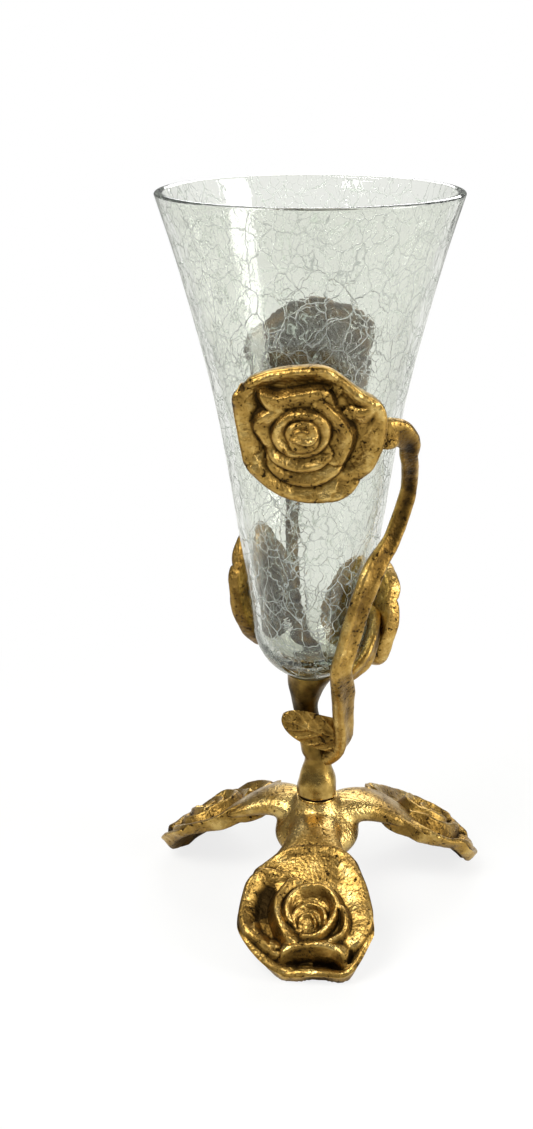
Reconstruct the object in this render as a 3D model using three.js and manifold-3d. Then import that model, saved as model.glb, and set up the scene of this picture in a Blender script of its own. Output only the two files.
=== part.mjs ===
// A crackle-glass trumpet vase held by cast brass rose branches, screwed onto a base with three rose feet.
// Millimetres, +Z up. The front foot points along -Y, and the table is z = 0 under the middle of the box.

import * as THREE from 'three';
import { mergeVertices } from 'three/addons/utils/BufferGeometryUtils.js';
import Module from 'manifold-3d';

// Main sizes
const overallHeight = 203.55; // from the table to the rim
const rimDiameter = 79.8; // across the glass's mouth
const baseRadius = 52.6; // from the screw's axis to the outer edge of a foot
const hubTop = 30.6; // height of the seat on which the stem is screwed down

// Fits
const fitGap = 0.3; // between a piece and the piece it is brazed to or rests in
const stackGap = 0.1; // between flat faces that the thread pulls together
const overshoot = 1; // how far a bore's cut runs past an open face

// Base hub, a bell-shaped turning
const hubTopRadius = 5.65;
const hubBevel = 0.5; // bright edge round the seat
const hubBottom = 13.5;
const hubBottomRadius = 9.8;
const hubWaistRadius = 8.4; // where the bell turns from flare to skirt
const hubWaistDrop = 6.5; // from the seat down to that turn
const hubWeb = 9.5; // metal between the seat and the nut's pocket
const hubPocketRadius = 6.4;

// Screw joint between base and stem
const studRadius = 2.5;
const studReach = 8.6; // engaged length inside the stem
const studTail = 1.2; // thread that shows below the nut
const nutAcrossFlats = 8;
const nutHeight = 4;
const lockWasherRadius = 4.8;
const lockWasherThickness = 1.1;
const seamWasherRadius = 4.9;
const seamWasherThickness = 0.4;

// Rose feet
const footBloomWidth = 37.4;
const footBloomLength = 37.8;
const footTipReach = 0.45; // share of the bloom's length from its middle out to its edge, seen from above
const footReach = baseRadius - footTipReach * footBloomLength; // from the screw's axis to its middle
const footRise = 13.9; // height of the middle of the bloom
const footSlope = 23; // degrees that the bloom falls outwards
const footTipDroop = 4.6; // how far the outer petals bend down to the table
const footRootLift = 2; // how far the inner petals stand up by the hub
const footRimDepth = 1.8; // metal behind the plane of the rim
const footTipDepth = 4.6; // extra metal under the outer petals, filed flat where it stands
const footTipSpread = 0.16; // how much wider the outer petals spread, as a share
const footArmRise = 22; // height of the arm's middle at the hub
const footArmKnee = { out: 14, rise: 24.5 }; // the arm leaves the hub nearly level and bends down here
const footArmSink = 1; // how far the arm's end lies under the middle of the bloom
const footArm = [ // sections from the hub's axis out to the middle of the bloom
  { along: 0, width: 12.5, thickness: 10 },
  { along: 0.25, width: 14, thickness: 8.2 },
  { along: 0.5, width: 16, thickness: 6.2 },
  { along: 0.75, width: 18, thickness: 4.6 },
  { along: 1, width: 14, thickness: 1.6 },
];

// Stem, a turned bulb and neck that widens into a cup for the glass
const stemRise = 37.8; // from the hub's seat to the lowest point of the glass
const stemBulbRadius = 5.65;
const stemBulbHeight = 5;
const stemBulbEdge = 0.3; // rounding of its lower edge
const stemBulbBelly = 0.6; // share of its height up to which it is full
const stemBulbShoulder = 0.93; // shares of the bulb's and the neck's radius on the way up
const stemNeckSwell = 1.14;
const stemNeckRadius = 3.75;
const stemNeckHeight = 12; // above the hub's seat
const stemNeckEase = 3; // over which the neck runs into the bulb below and the lean above
const stemWaistRadius = 3.4; // under the cup
const stemWaistDrop = 11.2; // from the lowest point of the glass
const stemThroatSwell = 1.3; // share of the waist's radius halfway up the cup
const stemCupRadius = 6.6;
const stemCupLip = 1.2; // how far the cup reaches up round the glass
const glassOffset = -2; // the cup leans this far off the screw's axis
const leanAboveNeck = 0.2; // shares of that lean above the neck and at the waist
const leanAtWaist = 0.9;
const holderTurn = 4.5; // degrees past the front foot at which the thread comes up tight

// Glass: a round-ended trumpet, with heights as shares of its height and radii as shares of its rim's
const glassWall = 2.2;
const glassFloor = 4.5;
const glassEnd = hubTop + stemRise; // its lowest point
const glassHeight = overallHeight - glassEnd - glassWall / 4; // up to where the lip is rounded over
const glassRimRadius = rimDiameter / 2;
const glassEndRadius = 0.398 * glassRimRadius; // of the round lower end
const glassEndDepth = 0.124 * glassHeight;
const glassFlare = [
  { up: 0.319, radius: 0.489 },
  { up: 0.594, radius: 0.637 },
  { up: 0.839, radius: 0.837 },
  { up: 1, radius: 1 },
];

// Blooms on the branches: azimuth from the front towards the right, height as a share of the glass's
const frontRose = { azimuth: -0.9, up: 0.5795, width: 38, height: 37.2 };
const backRose = { azimuth: 179.5, up: 0.6233, width: 39.3, height: 35.5 };
const leftRose = { azimuth: -133, up: 0.1605, width: 24.5, height: 36.5 };
const rightRose = { azimuth: 127, up: 0.1025, width: 30.5, height: 33.5 };

// Branches: flat-faced castings with a groove down the outer face
const branchHeelWidth = 7.6; // low on the front branch, where the side shoot leaves it
const branchRootWidth = 6.4;
const branchTipWidth = 4.2;
const branchRootThickness = 5;
const branchTipThickness = 4;
const branchCalyxWidth = 9; // where the front branch opens into its bloom
const shootWidth = 4.6;
const shootThickness = 3.8;
const grooveDepth = 0.28; // share of the half thickness
const grooveSharpness = 6; // higher is narrower

// Heel under the glass: right of the screw's axis and in front of it in widths of the heel,
// and above the neck as a share of the stem's rise
const frontBranchHeel = [
  { right: 0.1, front: 0.2, above: 0.066, width: branchRootWidth },
  { right: 0.95, front: 0.57, above: 0.196, width: branchHeelWidth },
  { right: 0.96, front: 0.9, above: 0.455, width: branchHeelWidth },
  { right: 0.95, front: 1.32, above: 0.651, width: branchHeelWidth },
];
// Routes over the glass: azimuth, height as a share of the glass's, and clearance in strand thicknesses
const frontBranchRoute = [
  { azimuth: 28, up: 0.059, clear: 0.34, width: branchRootWidth },
  { azimuth: 33, up: 0.111, clear: 0, width: branchRootWidth },
  { azimuth: 41, up: 0.188, clear: 0, width: branchRootWidth },
  { azimuth: 53, up: 0.267, clear: 0, width: branchRootWidth },
  { azimuth: 71, up: 0.319, clear: 0.16, width: branchTipWidth },
  { azimuth: 77, up: 0.394, clear: 0.48, width: branchTipWidth },
  { azimuth: 72, up: 0.446, clear: 0.56, width: branchTipWidth },
  { azimuth: 61, up: 0.499, clear: 0.74, width: branchTipWidth },
  { azimuth: 51, up: 0.545, clear: 0.92, width: branchTipWidth },
  { azimuth: 44, up: 0.568, clear: 0.88, width: branchTipWidth },
];
const rightShootRoute = [
  { azimuth: 44, up: 0.011, clear: 0.97, width: shootWidth },
  { azimuth: 51, up: 0.071, clear: 0.55, width: shootWidth },
  { azimuth: 71, up: 0.123, clear: 0, width: shootWidth },
];
const backBranchRoute = [
  { azimuth: 176, up: 0.011, clear: 0.2, width: branchRootWidth },
  { azimuth: -170, up: 0.037, clear: 0, width: branchRootWidth },
  { azimuth: -164, up: 0.082, clear: 0, width: branchRootWidth },
  { azimuth: -163, up: 0.168, clear: 0, width: branchTipWidth },
  { azimuth: -164.5, up: 0.253, clear: 0, width: branchTipWidth },
  { azimuth: -166, up: 0.349, clear: 0, width: branchTipWidth },
];
// Where a branch meets its bloom: shares of the bloom's half width and half height, and mm out of its face
const frontRoseJoint = [
  { across: 1.02, upward: -0.04, out: 0 },
  { across: 0.8, upward: -0.02, out: 0 },
];
const rightRoseJoint = [
  { across: -0.95, upward: 0.12, out: -0.5 },
  { across: -0.6, upward: 0.1, out: 0.5 },
];
const backRoseJoint = [
  { across: 0.25, upward: -1, out: -0.4 },
  { across: 0.2, upward: -0.8, out: 0 },
];

// Leaf in front of the stem
const leafLength = 19;
const leafWidth = 9;
const leafThickness = 1.8;
const leafLean = 38; // degrees that it rises to the left
const leafSag = 1.3; // how far its midrib bows down
const leafRoot = { right: 6.2, front: 6.2, above: 17 }; // from the screw's axis and the hub's seat
const leafStart = 0.12; // the leaf is the stretch from here on of a shape that is pointed at both ends
const leafStretch = 0.8;
const leafFullness = 0.9;
const leafSection = [ // round one section: shares of the half width across, and of the thickness forwards
  { across: 1, forward: 0 },
  { across: 0.45, forward: -0.5 },
  { across: -0.45, forward: -0.5 },
  { across: -1, forward: 0 },
  { across: -0.5, forward: 0.35 },
  { across: -0.08, forward: 0.5 },
  { across: 0.08, forward: 0.5 },
  { across: 0.5, forward: 0.35 },
];

// Cast bloom. Radii are shares of the bloom's half width, heights are above the plane of its rim.
// Each row of petals rises out of a hollow, and each petal starts inside its neighbour and ends outside it.
const bloomPit = 2.6;
const petalRows = [
  { petals: 1, radius: 0.17, rise: 4.2, swing: 0.07, turn: 40 },
  { petals: 3, radius: 0.39, rise: 4.4, hollow: 0.27, floor: 1.9, swing: 0.06, turn: 10 },
  { petals: 3, radius: 0.63, rise: 3.7, hollow: 0.5, floor: 1.3, swing: 0.08, turn: 75 },
  { petals: 5, radius: 0.95, rise: 2.4, hollow: 0.78, floor: 0.1, swing: 0.05, turn: 28 },
];
const petalLip = 0.045; // thickness of a petal's lip, as a share of the half width
const petalBulge = 0.8; // how much higher a petal stands at its middle
const bloomRimDepth = 2.4;
const bloomBackHollow = 1.2;
const bloomUnderCut = 0.93; // share of the half width at the back edge
const bloomColumns = 36;

// Finishes
const brass = { color: 0xa68545, roughness: 0.34, metalness: 1 };
const paleBrass = { color: 0xb8975a, roughness: 0.22, metalness: 1 };
const steel = { color: 0x8f8f8c, roughness: 0.4, metalness: 1 };
const darkFibre = { color: 0x241c14, roughness: 0.9, metalness: 0 };
const crackleGlass = { color: 0xdfe8e0, roughness: 0.08, metalness: 0, transparent: true, opacity: 0.35 };

// Faceting
const latheSegments = 36;
const boreSegments = 24;
const nutHoleSegments = 12;
const hubFlareSteps = 8;
const branchSides = 10;
const armSides = 14;

const seamHeight = seamWasherThickness + 2 * stackGap;
const stemFoot = hubTop + seamHeight;

const wasm = await Module();
wasm.setup();

// Solids and meshes

function toSolid(geometry) {
  const bare = geometry.clone();
  bare.deleteAttribute('normal');
  bare.deleteAttribute('uv');
  const merged = mergeVertices(bare, 1e-4);
  const vertProperties = new Float32Array(merged.attributes.position.array);
  const triVerts = new Uint32Array(merged.index.array);
  return new wasm.Manifold(new wasm.Mesh({ numProp: 3, vertProperties, triVerts }));
}

function toGeometry(solid) {
  const { vertProperties, triVerts } = solid.getMesh();
  const geometry = new THREE.BufferGeometry();
  geometry.setAttribute('position', new THREE.BufferAttribute(new Float32Array(vertProperties), 3));
  geometry.setIndex(new THREE.BufferAttribute(new Uint32Array(triVerts), 1));
  geometry.computeVertexNormals();
  return geometry;
}

// The body that is left when a cut strands slivers beyond its neighbour.
function mainBody(solid) {
  const bodies = solid.decompose();
  return bodies.reduce((best, body) => (body.volume() > best.volume() ? body : best));
}

function piece(name, solid, finish) {
  const mesh = new THREE.Mesh(toGeometry(mainBody(solid)), new THREE.MeshStandardMaterial(finish));
  mesh.name = name;
  return mesh;
}

// A closed skin over rings of points. A ring of one point closes an end.
function loft(rings) {
  const positions = [];
  const starts = rings.map((ring) => {
    const start = positions.length / 3;
    ring.forEach((point) => positions.push(point.x, point.y, point.z));
    return start;
  });
  const faces = [];
  for (let i = 0; i + 1 < rings.length; i++) {
    const lower = rings[i].length;
    const upper = rings[i + 1].length;
    for (let k = 0; k < Math.max(lower, upper); k++) {
      const a = starts[i] + (k % lower);
      const b = starts[i] + ((k + 1) % lower);
      const c = starts[i + 1] + (k % upper);
      const d = starts[i + 1] + ((k + 1) % upper);
      if (lower > 1) faces.push(a, b, d);
      if (upper > 1) faces.push(a, d, c);
    }
  }
  const geometry = new THREE.BufferGeometry();
  geometry.setAttribute('position', new THREE.Float32BufferAttribute(positions, 3));
  geometry.setIndex(faces);
  const solid = toSolid(geometry);
  if (solid.volume() > 0) return solid;
  geometry.setIndex(faces.reverse());
  return toSolid(geometry);
}

function centreOf(ring) {
  const sum = ring.reduce((total, point) => total.add(point), new THREE.Vector3());
  return sum.divideScalar(ring.length);
}

function capped(rings) {
  return loft([[centreOf(rings[0])], ...rings, [centreOf(rings[rings.length - 1])]]);
}

// A turning about +Z from a closed profile of radius and height.
function turning(profile, segments = latheSegments) {
  const geometry = new THREE.LatheGeometry(profile, segments);
  geometry.rotateX(Math.PI / 2);
  const solid = toSolid(geometry);
  if (solid.volume() > 0) return solid;
  const reversed = new THREE.LatheGeometry([...profile].reverse(), segments);
  reversed.rotateX(Math.PI / 2);
  return toSolid(reversed);
}

function profileOf(...pairs) {
  return pairs.map(([radius, height]) => new THREE.Vector2(radius, height));
}

function cylinder(radius, from, to, segments = boreSegments) {
  return turning(profileOf([0, from], [radius, from], [radius, to], [0, to]), segments);
}

// Glass

const flareCurve = new THREE.SplineCurve([
  new THREE.Vector2(glassEndRadius, glassEndDepth),
  ...glassFlare.map(({ up, radius }) => new THREE.Vector2(radius * glassRimRadius, up * glassHeight)),
]);
const flareSteps = 8;
const endSteps = 6;
const floorSteps = 4;

// The round end, from its lowest point up to where the flare starts.
function roundEnd(radius, depth, steps) {
  return Array.from({ length: steps + 1 }, (_, i) => {
    const angle = (i / steps) * (Math.PI / 2);
    const up = glassEndDepth - depth * Math.cos(angle);
    return new THREE.Vector2(radius * Math.sin(angle), up);
  });
}

// The outside of the glass, or the space that stands clear of it by the given gap.
function glassOutline(gap = 0) {
  const end = roundEnd(glassEndRadius + gap, glassEndDepth + gap, endSteps);
  const flare = flareCurve.getPoints(flareSteps).slice(1);
  return [...end, ...flare.map((point) => new THREE.Vector2(point.x + gap, point.y))];
}

// Radius of the glass at a height above its lowest point.
function glassRadius(up) {
  const outline = glassOutline();
  const next = outline.findIndex((point) => point.y >= up);
  if (next < 0) return glassRimRadius;
  if (next === 0) return 0;
  const low = outline[next - 1];
  const high = outline[next];
  return THREE.MathUtils.mapLinear(up, low.y, high.y, low.x, high.x);
}

function glassSpace(gap) {
  const outline = glassOutline(gap);
  return turning([...outline, new THREE.Vector2(0, glassHeight)]).translate([glassOffset, 0, glassEnd]);
}

function glassVase() {
  const outside = glassOutline();
  const lip = new THREE.Vector2(glassRimRadius - glassWall / 2, glassHeight + glassWall / 4);
  const inside = flareCurve.getPoints(flareSteps).map((p) => new THREE.Vector2(p.x - glassWall, p.y));
  const floor = roundEnd(glassEndRadius - glassWall, glassEndDepth - glassFloor, floorSteps);
  const profile = [...outside, lip, ...inside.reverse(), ...floor.reverse().slice(1)];
  return turning(profile).translate([glassOffset, 0, glassEnd]);
}

// Directions at an azimuth measured from the front (-Y) towards the right (+X).
function bearing(azimuth) {
  const angle = THREE.MathUtils.degToRad(azimuth);
  return {
    outward: new THREE.Vector3(Math.sin(angle), -Math.cos(angle), 0),
    sideways: new THREE.Vector3(Math.cos(angle), Math.sin(angle), 0),
  };
}

const glassAxis = new THREE.Vector3(glassOffset, 0, 0);

// A point that stands off the glass, at a share of its height.
function besideGlass(azimuth, share, standoff) {
  const up = share * glassHeight;
  const reach = glassRadius(up) + standoff;
  return bearing(azimuth).outward.multiplyScalar(reach).add(glassAxis).setZ(glassEnd + up);
}

// Blooms

// How far a petal row's lip swings in or out, and how high it stands, at one bearing round the bloom.
function petalAt(row, angle) {
  const along = ((angle - THREE.MathUtils.degToRad(row.turn)) * row.petals) / (2 * Math.PI);
  const share = along - Math.floor(along);
  const middle = Math.sin(share * Math.PI) - 2 / Math.PI;
  return {
    radius: row.radius + row.swing * (share - 0.5) + (row.petals > 1 ? row.swing * middle : 0),
    rise: row.rise + petalBulge * middle,
  };
}

const flatShape = { drop: () => 0, spread: () => 1 };

// One closed bloom in its own frame: x and y across it, z out of its face.
// A shape lowers and spreads a point by its share of the half height, -1 at the tip and 1 at the root.
function bloom(width, height, gap = 0, shape = flatShape) {
  const lines = [];
  const line = (pointAt) => {
    lines.push(Array.from({ length: bloomColumns }, (_, column) => {
      const angle = ((column + 0.5) / bloomColumns) * 2 * Math.PI;
      const { radius, level } = pointAt(angle);
      const share = Math.sin(angle) * radius;
      const x = Math.cos(angle) * (radius * width / 2 + gap) * shape.spread(share);
      const y = Math.sin(angle) * (radius * height / 2 + gap);
      return new THREE.Vector3(x, y, level - shape.drop(share, level));
    }));
  };
  petalRows.forEach((row) => {
    if (row.hollow) line(() => ({ radius: row.hollow, level: row.floor + gap }));
    line((angle) => {
      const petal = petalAt(row, angle);
      return { radius: petal.radius - petalLip, level: petal.rise + gap };
    });
    line((angle) => {
      const petal = petalAt(row, angle);
      return { radius: petal.radius + petalLip, level: petal.rise - petalBulge + gap };
    });
  });
  const rim = petalRows[petalRows.length - 1];
  line((angle) => ({ radius: petalAt(rim, angle).radius * bloomUnderCut, level: -bloomRimDepth - gap }));
  line(() => ({ radius: rim.hollow, level: -bloomRimDepth + bloomBackHollow / 2 - gap }));
  const pit = new THREE.Vector3(0, 0, bloomPit + gap);
  const back = new THREE.Vector3(0, 0, -bloomRimDepth + bloomBackHollow - gap);
  return loft([[pit], ...lines, [back]]);
}

// The frame of a bloom that leans with the glass, its back edge one fit gap clear of the wall.
function bloomFrame(rose) {
  const { outward, sideways } = bearing(rose.azimuth);
  const up = rose.up * glassHeight;
  const quarter = rose.height / 4;
  const lean = Math.atan2(glassRadius(up + quarter) - glassRadius(up - quarter), 2 * quarter);
  const steps = 12;
  let reach = 0;
  for (let i = 0; i <= steps; i++) {
    const along = (i / steps - 0.5) * rose.height;
    const edge = up + along * Math.cos(lean) + bloomRimDepth * Math.sin(lean);
    const needed = glassRadius(edge) - along * Math.sin(lean) + bloomRimDepth * Math.cos(lean);
    reach = Math.max(reach, needed + fitGap);
  }
  const rise = new THREE.Vector3(0, 0, 1);
  const face = outward.clone().multiplyScalar(Math.cos(lean)).addScaledVector(rise, -Math.sin(lean));
  const top = outward.clone().multiplyScalar(Math.sin(lean)).addScaledVector(rise, Math.cos(lean));
  const middle = outward.clone().multiplyScalar(reach).add(glassAxis).setZ(glassEnd + up);
  return new THREE.Matrix4().makeBasis(sideways, top, face).setPosition(middle);
}

function placed(solid, matrix) {
  return solid.transform(matrix.toArray());
}

function branchRose(rose, gap = 0) {
  return placed(bloom(rose.width, rose.height, gap), bloomFrame(rose));
}

// A point in a bloom's own frame.
function onRose(rose, { across, upward, out }) {
  const point = new THREE.Vector3((across * rose.width) / 2, (upward * rose.height) / 2, out);
  return point.applyMatrix4(bloomFrame(rose));
}

// Branches

// A cast strand through stations of point, width and thickness, its flat face turned away from the glass.
function strand(stations, gap = 0) {
  const curve = new THREE.CatmullRomCurve3(stations.map((station) => station.at), false, 'centripetal');
  const spans = stations.length - 1;
  const stepsPerSpan = 2;
  const rings = [];
  for (let i = 0; i <= spans * stepsPerSpan; i++) {
    const along = i / stepsPerSpan;
    const from = stations[Math.min(Math.floor(along), spans - 1)];
    const to = stations[Math.min(Math.floor(along) + 1, spans)];
    const share = along - Math.min(Math.floor(along), spans - 1);
    const halfWidth = THREE.MathUtils.lerp(from.width, to.width, share) / 2 + gap;
    const halfThickness = THREE.MathUtils.lerp(from.thickness, to.thickness, share) / 2 + gap;
    const centre = curve.getPoint(along / spans);
    const tangent = curve.getTangent(along / spans);
    const away = centre.clone().sub(glassAxis).setZ(0);
    const side = new THREE.Vector3().crossVectors(tangent, away).normalize();
    const face = new THREE.Vector3().crossVectors(side, tangent).normalize();
    rings.push(Array.from({ length: branchSides }, (_, k) => {
      const angle = ((k + 0.5) / branchSides) * 2 * Math.PI;
      const groove = 1 - grooveDepth * Math.max(0, Math.sin(angle)) ** grooveSharpness;
      return centre.clone()
        .addScaledVector(side, halfWidth * Math.cos(angle))
        .addScaledVector(face, halfThickness * Math.sin(angle) * groove);
    }));
  }
  return capped(rings);
}

function station(at, width, thickness) {
  return { at, width, thickness };
}

// Stations along a route, the strand's back its clearance and a fit gap off the glass.
function along(route, thickness) {
  return route.map(({ azimuth, up, clear, width }) => {
    return station(besideGlass(azimuth, up, (clear + 0.5) * thickness + fitGap), width, thickness);
  });
}

// Stations where a branch runs into its bloom.
function intoRose(rose, joint, width, thickness) {
  return joint.map((place) => station(onRose(rose, place), width, thickness));
}

// Up from the neck's right side, over the heel, along the glass and round into the front bloom's edge.
function frontBranchStations() {
  const neck = hubTop + stemNeckHeight;
  const heel = frontBranchHeel.map(({ right, front, above, width }) => {
    const level = neck + above * stemRise;
    const at = new THREE.Vector3(right * branchHeelWidth, -front * branchHeelWidth, level);
    return station(at, width, branchRootThickness);
  });
  return [
    ...heel,
    ...along(frontBranchRoute, branchRootThickness),
    ...intoRose(frontRose, frontRoseJoint, branchCalyxWidth, branchTipThickness),
  ];
}

// A side shoot off the front branch, round the right of the glass to the near edge of the right bloom.
function rightShootStations() {
  return [
    ...along(rightShootRoute, shootThickness),
    ...intoRose(rightRose, rightRoseJoint, shootWidth, shootThickness),
  ];
}

// Out of the cup's back, up behind the glass to the lower edge of the back bloom.
function backBranchStations() {
  const rootLevel = glassEnd - stemWaistDrop + stemWaistRadius;
  const root = new THREE.Vector3(glassOffset, stemWaistRadius / 2, rootLevel);
  return [
    station(root, branchRootWidth, branchRootThickness),
    ...along(backBranchRoute, branchRootThickness),
    ...intoRose(backRose, backRoseJoint, branchRootWidth, branchTipThickness),
  ];
}

// Stem

function stemBlank(gap = 0) {
  const ring = (height, radius, lean) => {
    return Array.from({ length: boreSegments }, (_, k) => {
      const angle = (k / boreSegments) * 2 * Math.PI;
      const x = lean * glassOffset + (radius + gap) * Math.cos(angle);
      return new THREE.Vector3(x, (radius + gap) * Math.sin(angle), height);
    });
  };
  const neck = hubTop + stemNeckHeight;
  const waist = glassEnd - stemWaistDrop;
  return capped([
    ring(stemFoot - gap, stemBulbRadius - stemBulbEdge, 0),
    ring(stemFoot + stemBulbEdge, stemBulbRadius, 0),
    ring(stemFoot + stemBulbHeight * stemBulbBelly, stemBulbRadius, 0),
    ring(stemFoot + stemBulbHeight, stemBulbRadius * stemBulbShoulder, 0),
    ring(neck - stemNeckEase, stemNeckRadius * stemNeckSwell, 0),
    ring(neck, stemNeckRadius, 0),
    ring(neck + stemNeckEase, stemNeckRadius, leanAboveNeck),
    ring(waist, stemWaistRadius, leanAtWaist),
    ring(glassEnd - stemWaistDrop / 2, stemWaistRadius * stemThroatSwell, 1),
    ring(glassEnd + stemCupLip + gap, stemCupRadius, 1),
  ]);
}

function stem() {
  const bore = cylinder(studRadius + fitGap, stemFoot - overshoot, stemFoot + studReach + fitGap);
  return stemBlank().subtract(bore).subtract(glassSpace(fitGap));
}

// Leaf

function stemLeaf() {
  const root = new THREE.Vector3(leafRoot.right, -leafRoot.front, hubTop + leafRoot.above);
  const lean = THREE.MathUtils.degToRad(leafLean);
  const growth = new THREE.Vector3(-Math.cos(lean), 0, Math.sin(lean));
  const tip = root.clone().addScaledVector(growth, leafLength);
  const middle = root.clone().lerp(tip, 0.5).add(new THREE.Vector3(-leafSag, -leafSag, -leafSag));
  const rib = new THREE.QuadraticBezierCurve3(root, middle, tip);
  const front = new THREE.Vector3(0, -1, 0);
  const steps = 7;
  const rings = Array.from({ length: steps + 1 }, (_, i) => {
    const along = i / steps;
    const half = (leafWidth / 2) * Math.sin(Math.PI * (leafStart + leafStretch * along) ** leafFullness);
    const sideways = new THREE.Vector3().crossVectors(rib.getTangent(along), front).normalize();
    return leafSection.map(({ across, forward }) => rib.getPoint(along)
      .addScaledVector(sideways, across * half)
      .addScaledVector(front, forward * leafThickness));
  });
  return capped(rings);
}

// Base

function hubBlank(gap = 0) {
  const waist = hubTop - hubWaistDrop;
  const flare = new THREE.SplineCurve(profileOf(
    [hubBottomRadius + gap, hubBottom - gap],
    [hubWaistRadius + gap, waist],
    [hubTopRadius + gap, hubTop - hubBevel],
  )).getPoints(hubFlareSteps);
  const top = profileOf([hubTopRadius - hubBevel + gap, hubTop + gap], [0, hubTop + gap]);
  return turning([...profileOf([0, hubBottom - gap]), ...flare, ...top]);
}

function baseHub() {
  const bore = cylinder(studRadius + fitGap, hubBottom - overshoot, hubTop + overshoot);
  const pocket = cylinder(hubPocketRadius, hubBottom - overshoot, hubTop - hubWeb);
  return hubBlank().subtract(bore).subtract(pocket);
}

// A foot: a bloom that falls outwards to the table, on an arm that spreads from the hub.
function footRose(azimuth) {
  const { outward, sideways } = bearing(azimuth);
  const slope = THREE.MathUtils.degToRad(footSlope);
  const rise = new THREE.Vector3(0, 0, 1);
  const inward = outward.clone().multiplyScalar(-Math.cos(slope)).addScaledVector(rise, Math.sin(slope));
  const face = outward.clone().multiplyScalar(Math.sin(slope)).addScaledVector(rise, Math.cos(slope));
  const middle = outward.clone().multiplyScalar(footReach).setZ(footRise);
  const frame = new THREE.Matrix4().makeBasis(sideways, inward, face).setPosition(middle);
  const shape = {
    drop: (share, level) => {
      const droop = (share < 0 ? footTipDroop : -footRootLift) * share ** 2;
      if (level >= 0) return droop;
      return droop + footRimDepth - bloomRimDepth + (share < 0 ? footTipDepth * share ** 2 : 0);
    },
    spread: (share) => (share < 0 ? 1 + footTipSpread * share ** 2 : 1),
  };
  const head = placed(bloom(footBloomWidth, footBloomLength, 0, shape), frame);

  const armStart = outward.clone().multiplyScalar(hubTopRadius).setZ(footArmRise);
  const armKnee = outward.clone().multiplyScalar(footArmKnee.out).setZ(footArmKnee.rise);
  const armEnd = middle.clone().addScaledVector(face, -footArmSink);
  const armLine = new THREE.QuadraticBezierCurve3(armStart, armKnee, armEnd);
  const arm = capped(footArm.map(({ along: share, width, thickness }) => {
    const at = armLine.getPoint(share);
    return Array.from({ length: armSides }, (_, k) => {
      const angle = (k / armSides) * 2 * Math.PI;
      return at.clone()
        .addScaledVector(sideways, (width / 2) * Math.cos(angle))
        .addScaledVector(face, (thickness / 2) * Math.sin(angle));
    });
  }));

  const span = 3 * (footReach + footBloomLength);
  const table = new THREE.BoxGeometry(span, span, span).translate(0, 0, -span / 2);
  return head.add(arm).subtract(hubBlank(fitGap)).subtract(toSolid(table)).subtract(nutSpace());
}

// Room under the hub for the nut and a spanner.
function nutSpace() {
  return cylinder(hubPocketRadius + fitGap, -overshoot, hubTop - hubWeb);
}

const washerSeat = hubTop - hubWeb - stackGap; // underside of the hub's web
const nutTop = washerSeat - lockWasherThickness - stackGap;

function ringWasher(radius, from, thickness) {
  const hole = studRadius + fitGap;
  const to = from + thickness;
  const section = profileOf([hole, from], [radius, from], [radius, to], [hole, to], [hole, from]);
  return turning(section, boreSegments);
}

function hexNut() {
  const outline = new THREE.Shape();
  const corner = nutAcrossFlats / Math.sqrt(3);
  for (let k = 0; k < 6; k++) {
    const angle = (k * Math.PI) / 3;
    if (k === 0) outline.moveTo(corner, 0);
    else outline.lineTo(corner * Math.cos(angle), corner * Math.sin(angle));
  }
  outline.closePath();
  outline.holes.push(new THREE.Path().absarc(0, 0, studRadius + fitGap, 0, 2 * Math.PI, true));
  const extrusion = { depth: nutHeight, bevelEnabled: false, curveSegments: nutHoleSegments };
  const geometry = new THREE.ExtrudeGeometry(outline, extrusion);
  return toSolid(geometry.translate(0, 0, nutTop - nutHeight));
}

function threadedStud() {
  return cylinder(studRadius, nutTop - nutHeight - studTail, stemFoot + studReach);
}

// Assembly

const vase = new THREE.Group();

const base = new THREE.Group();
base.add(piece('base_hub', baseHub(), paleBrass));
base.add(piece('foot_rose_front', footRose(0), brass));
base.add(piece('foot_rose_right', footRose(120), brass));
base.add(piece('foot_rose_left', footRose(-120), brass));
base.add(piece('threaded_stud', threadedStud(), steel));
base.add(piece('lock_washer', ringWasher(lockWasherRadius, nutTop + stackGap, lockWasherThickness), steel));
base.add(piece('hex_nut', hexNut(), steel));
const seamWasher = ringWasher(seamWasherRadius, hubTop + stackGap, seamWasherThickness);
base.add(piece('seam_washer', seamWasher, darkFibre));
vase.add(base);

const holder = new THREE.Group();
const stemSpace = stemBlank(fitGap);
const frontSpace = strand(frontBranchStations(), fitGap);
const backSpace = strand(backBranchStations(), fitGap);
const frontBranch = strand(frontBranchStations())
  .subtract(stemSpace)
  .subtract(branchRose(frontRose, fitGap));
const backBranch = strand(backBranchStations())
  .subtract(stemSpace).subtract(branchRose(backRose, fitGap)).subtract(glassSpace(fitGap));
const rightShoot = strand(rightShootStations())
  .subtract(frontSpace).subtract(branchRose(rightRose, fitGap)).subtract(glassSpace(fitGap));
holder.add(piece('stem', stem(), paleBrass));
holder.add(piece('front_branch', frontBranch.subtract(glassSpace(fitGap)), brass));
holder.add(piece('right_shoot', rightShoot, brass));
holder.add(piece('back_branch', backBranch, brass));
holder.add(piece('front_rose', branchRose(frontRose), brass));
holder.add(piece('back_rose', branchRose(backRose), brass));
holder.add(piece('left_rose', branchRose(leftRose).subtract(backSpace), brass));
holder.add(piece('right_rose', branchRose(rightRose), brass));
holder.add(piece('stem_leaf', stemLeaf().subtract(stemSpace).subtract(frontSpace), brass));
holder.add(piece('glass_vase', glassVase(), crackleGlass));
holder.rotation.z = THREE.MathUtils.degToRad(holderTurn);
vase.add(holder);

const box = new THREE.Box3().setFromObject(vase, true);
vase.position.set(-(box.min.x + box.max.x) / 2, -(box.min.y + box.max.y) / 2, -box.min.z);

export default vase;
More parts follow.
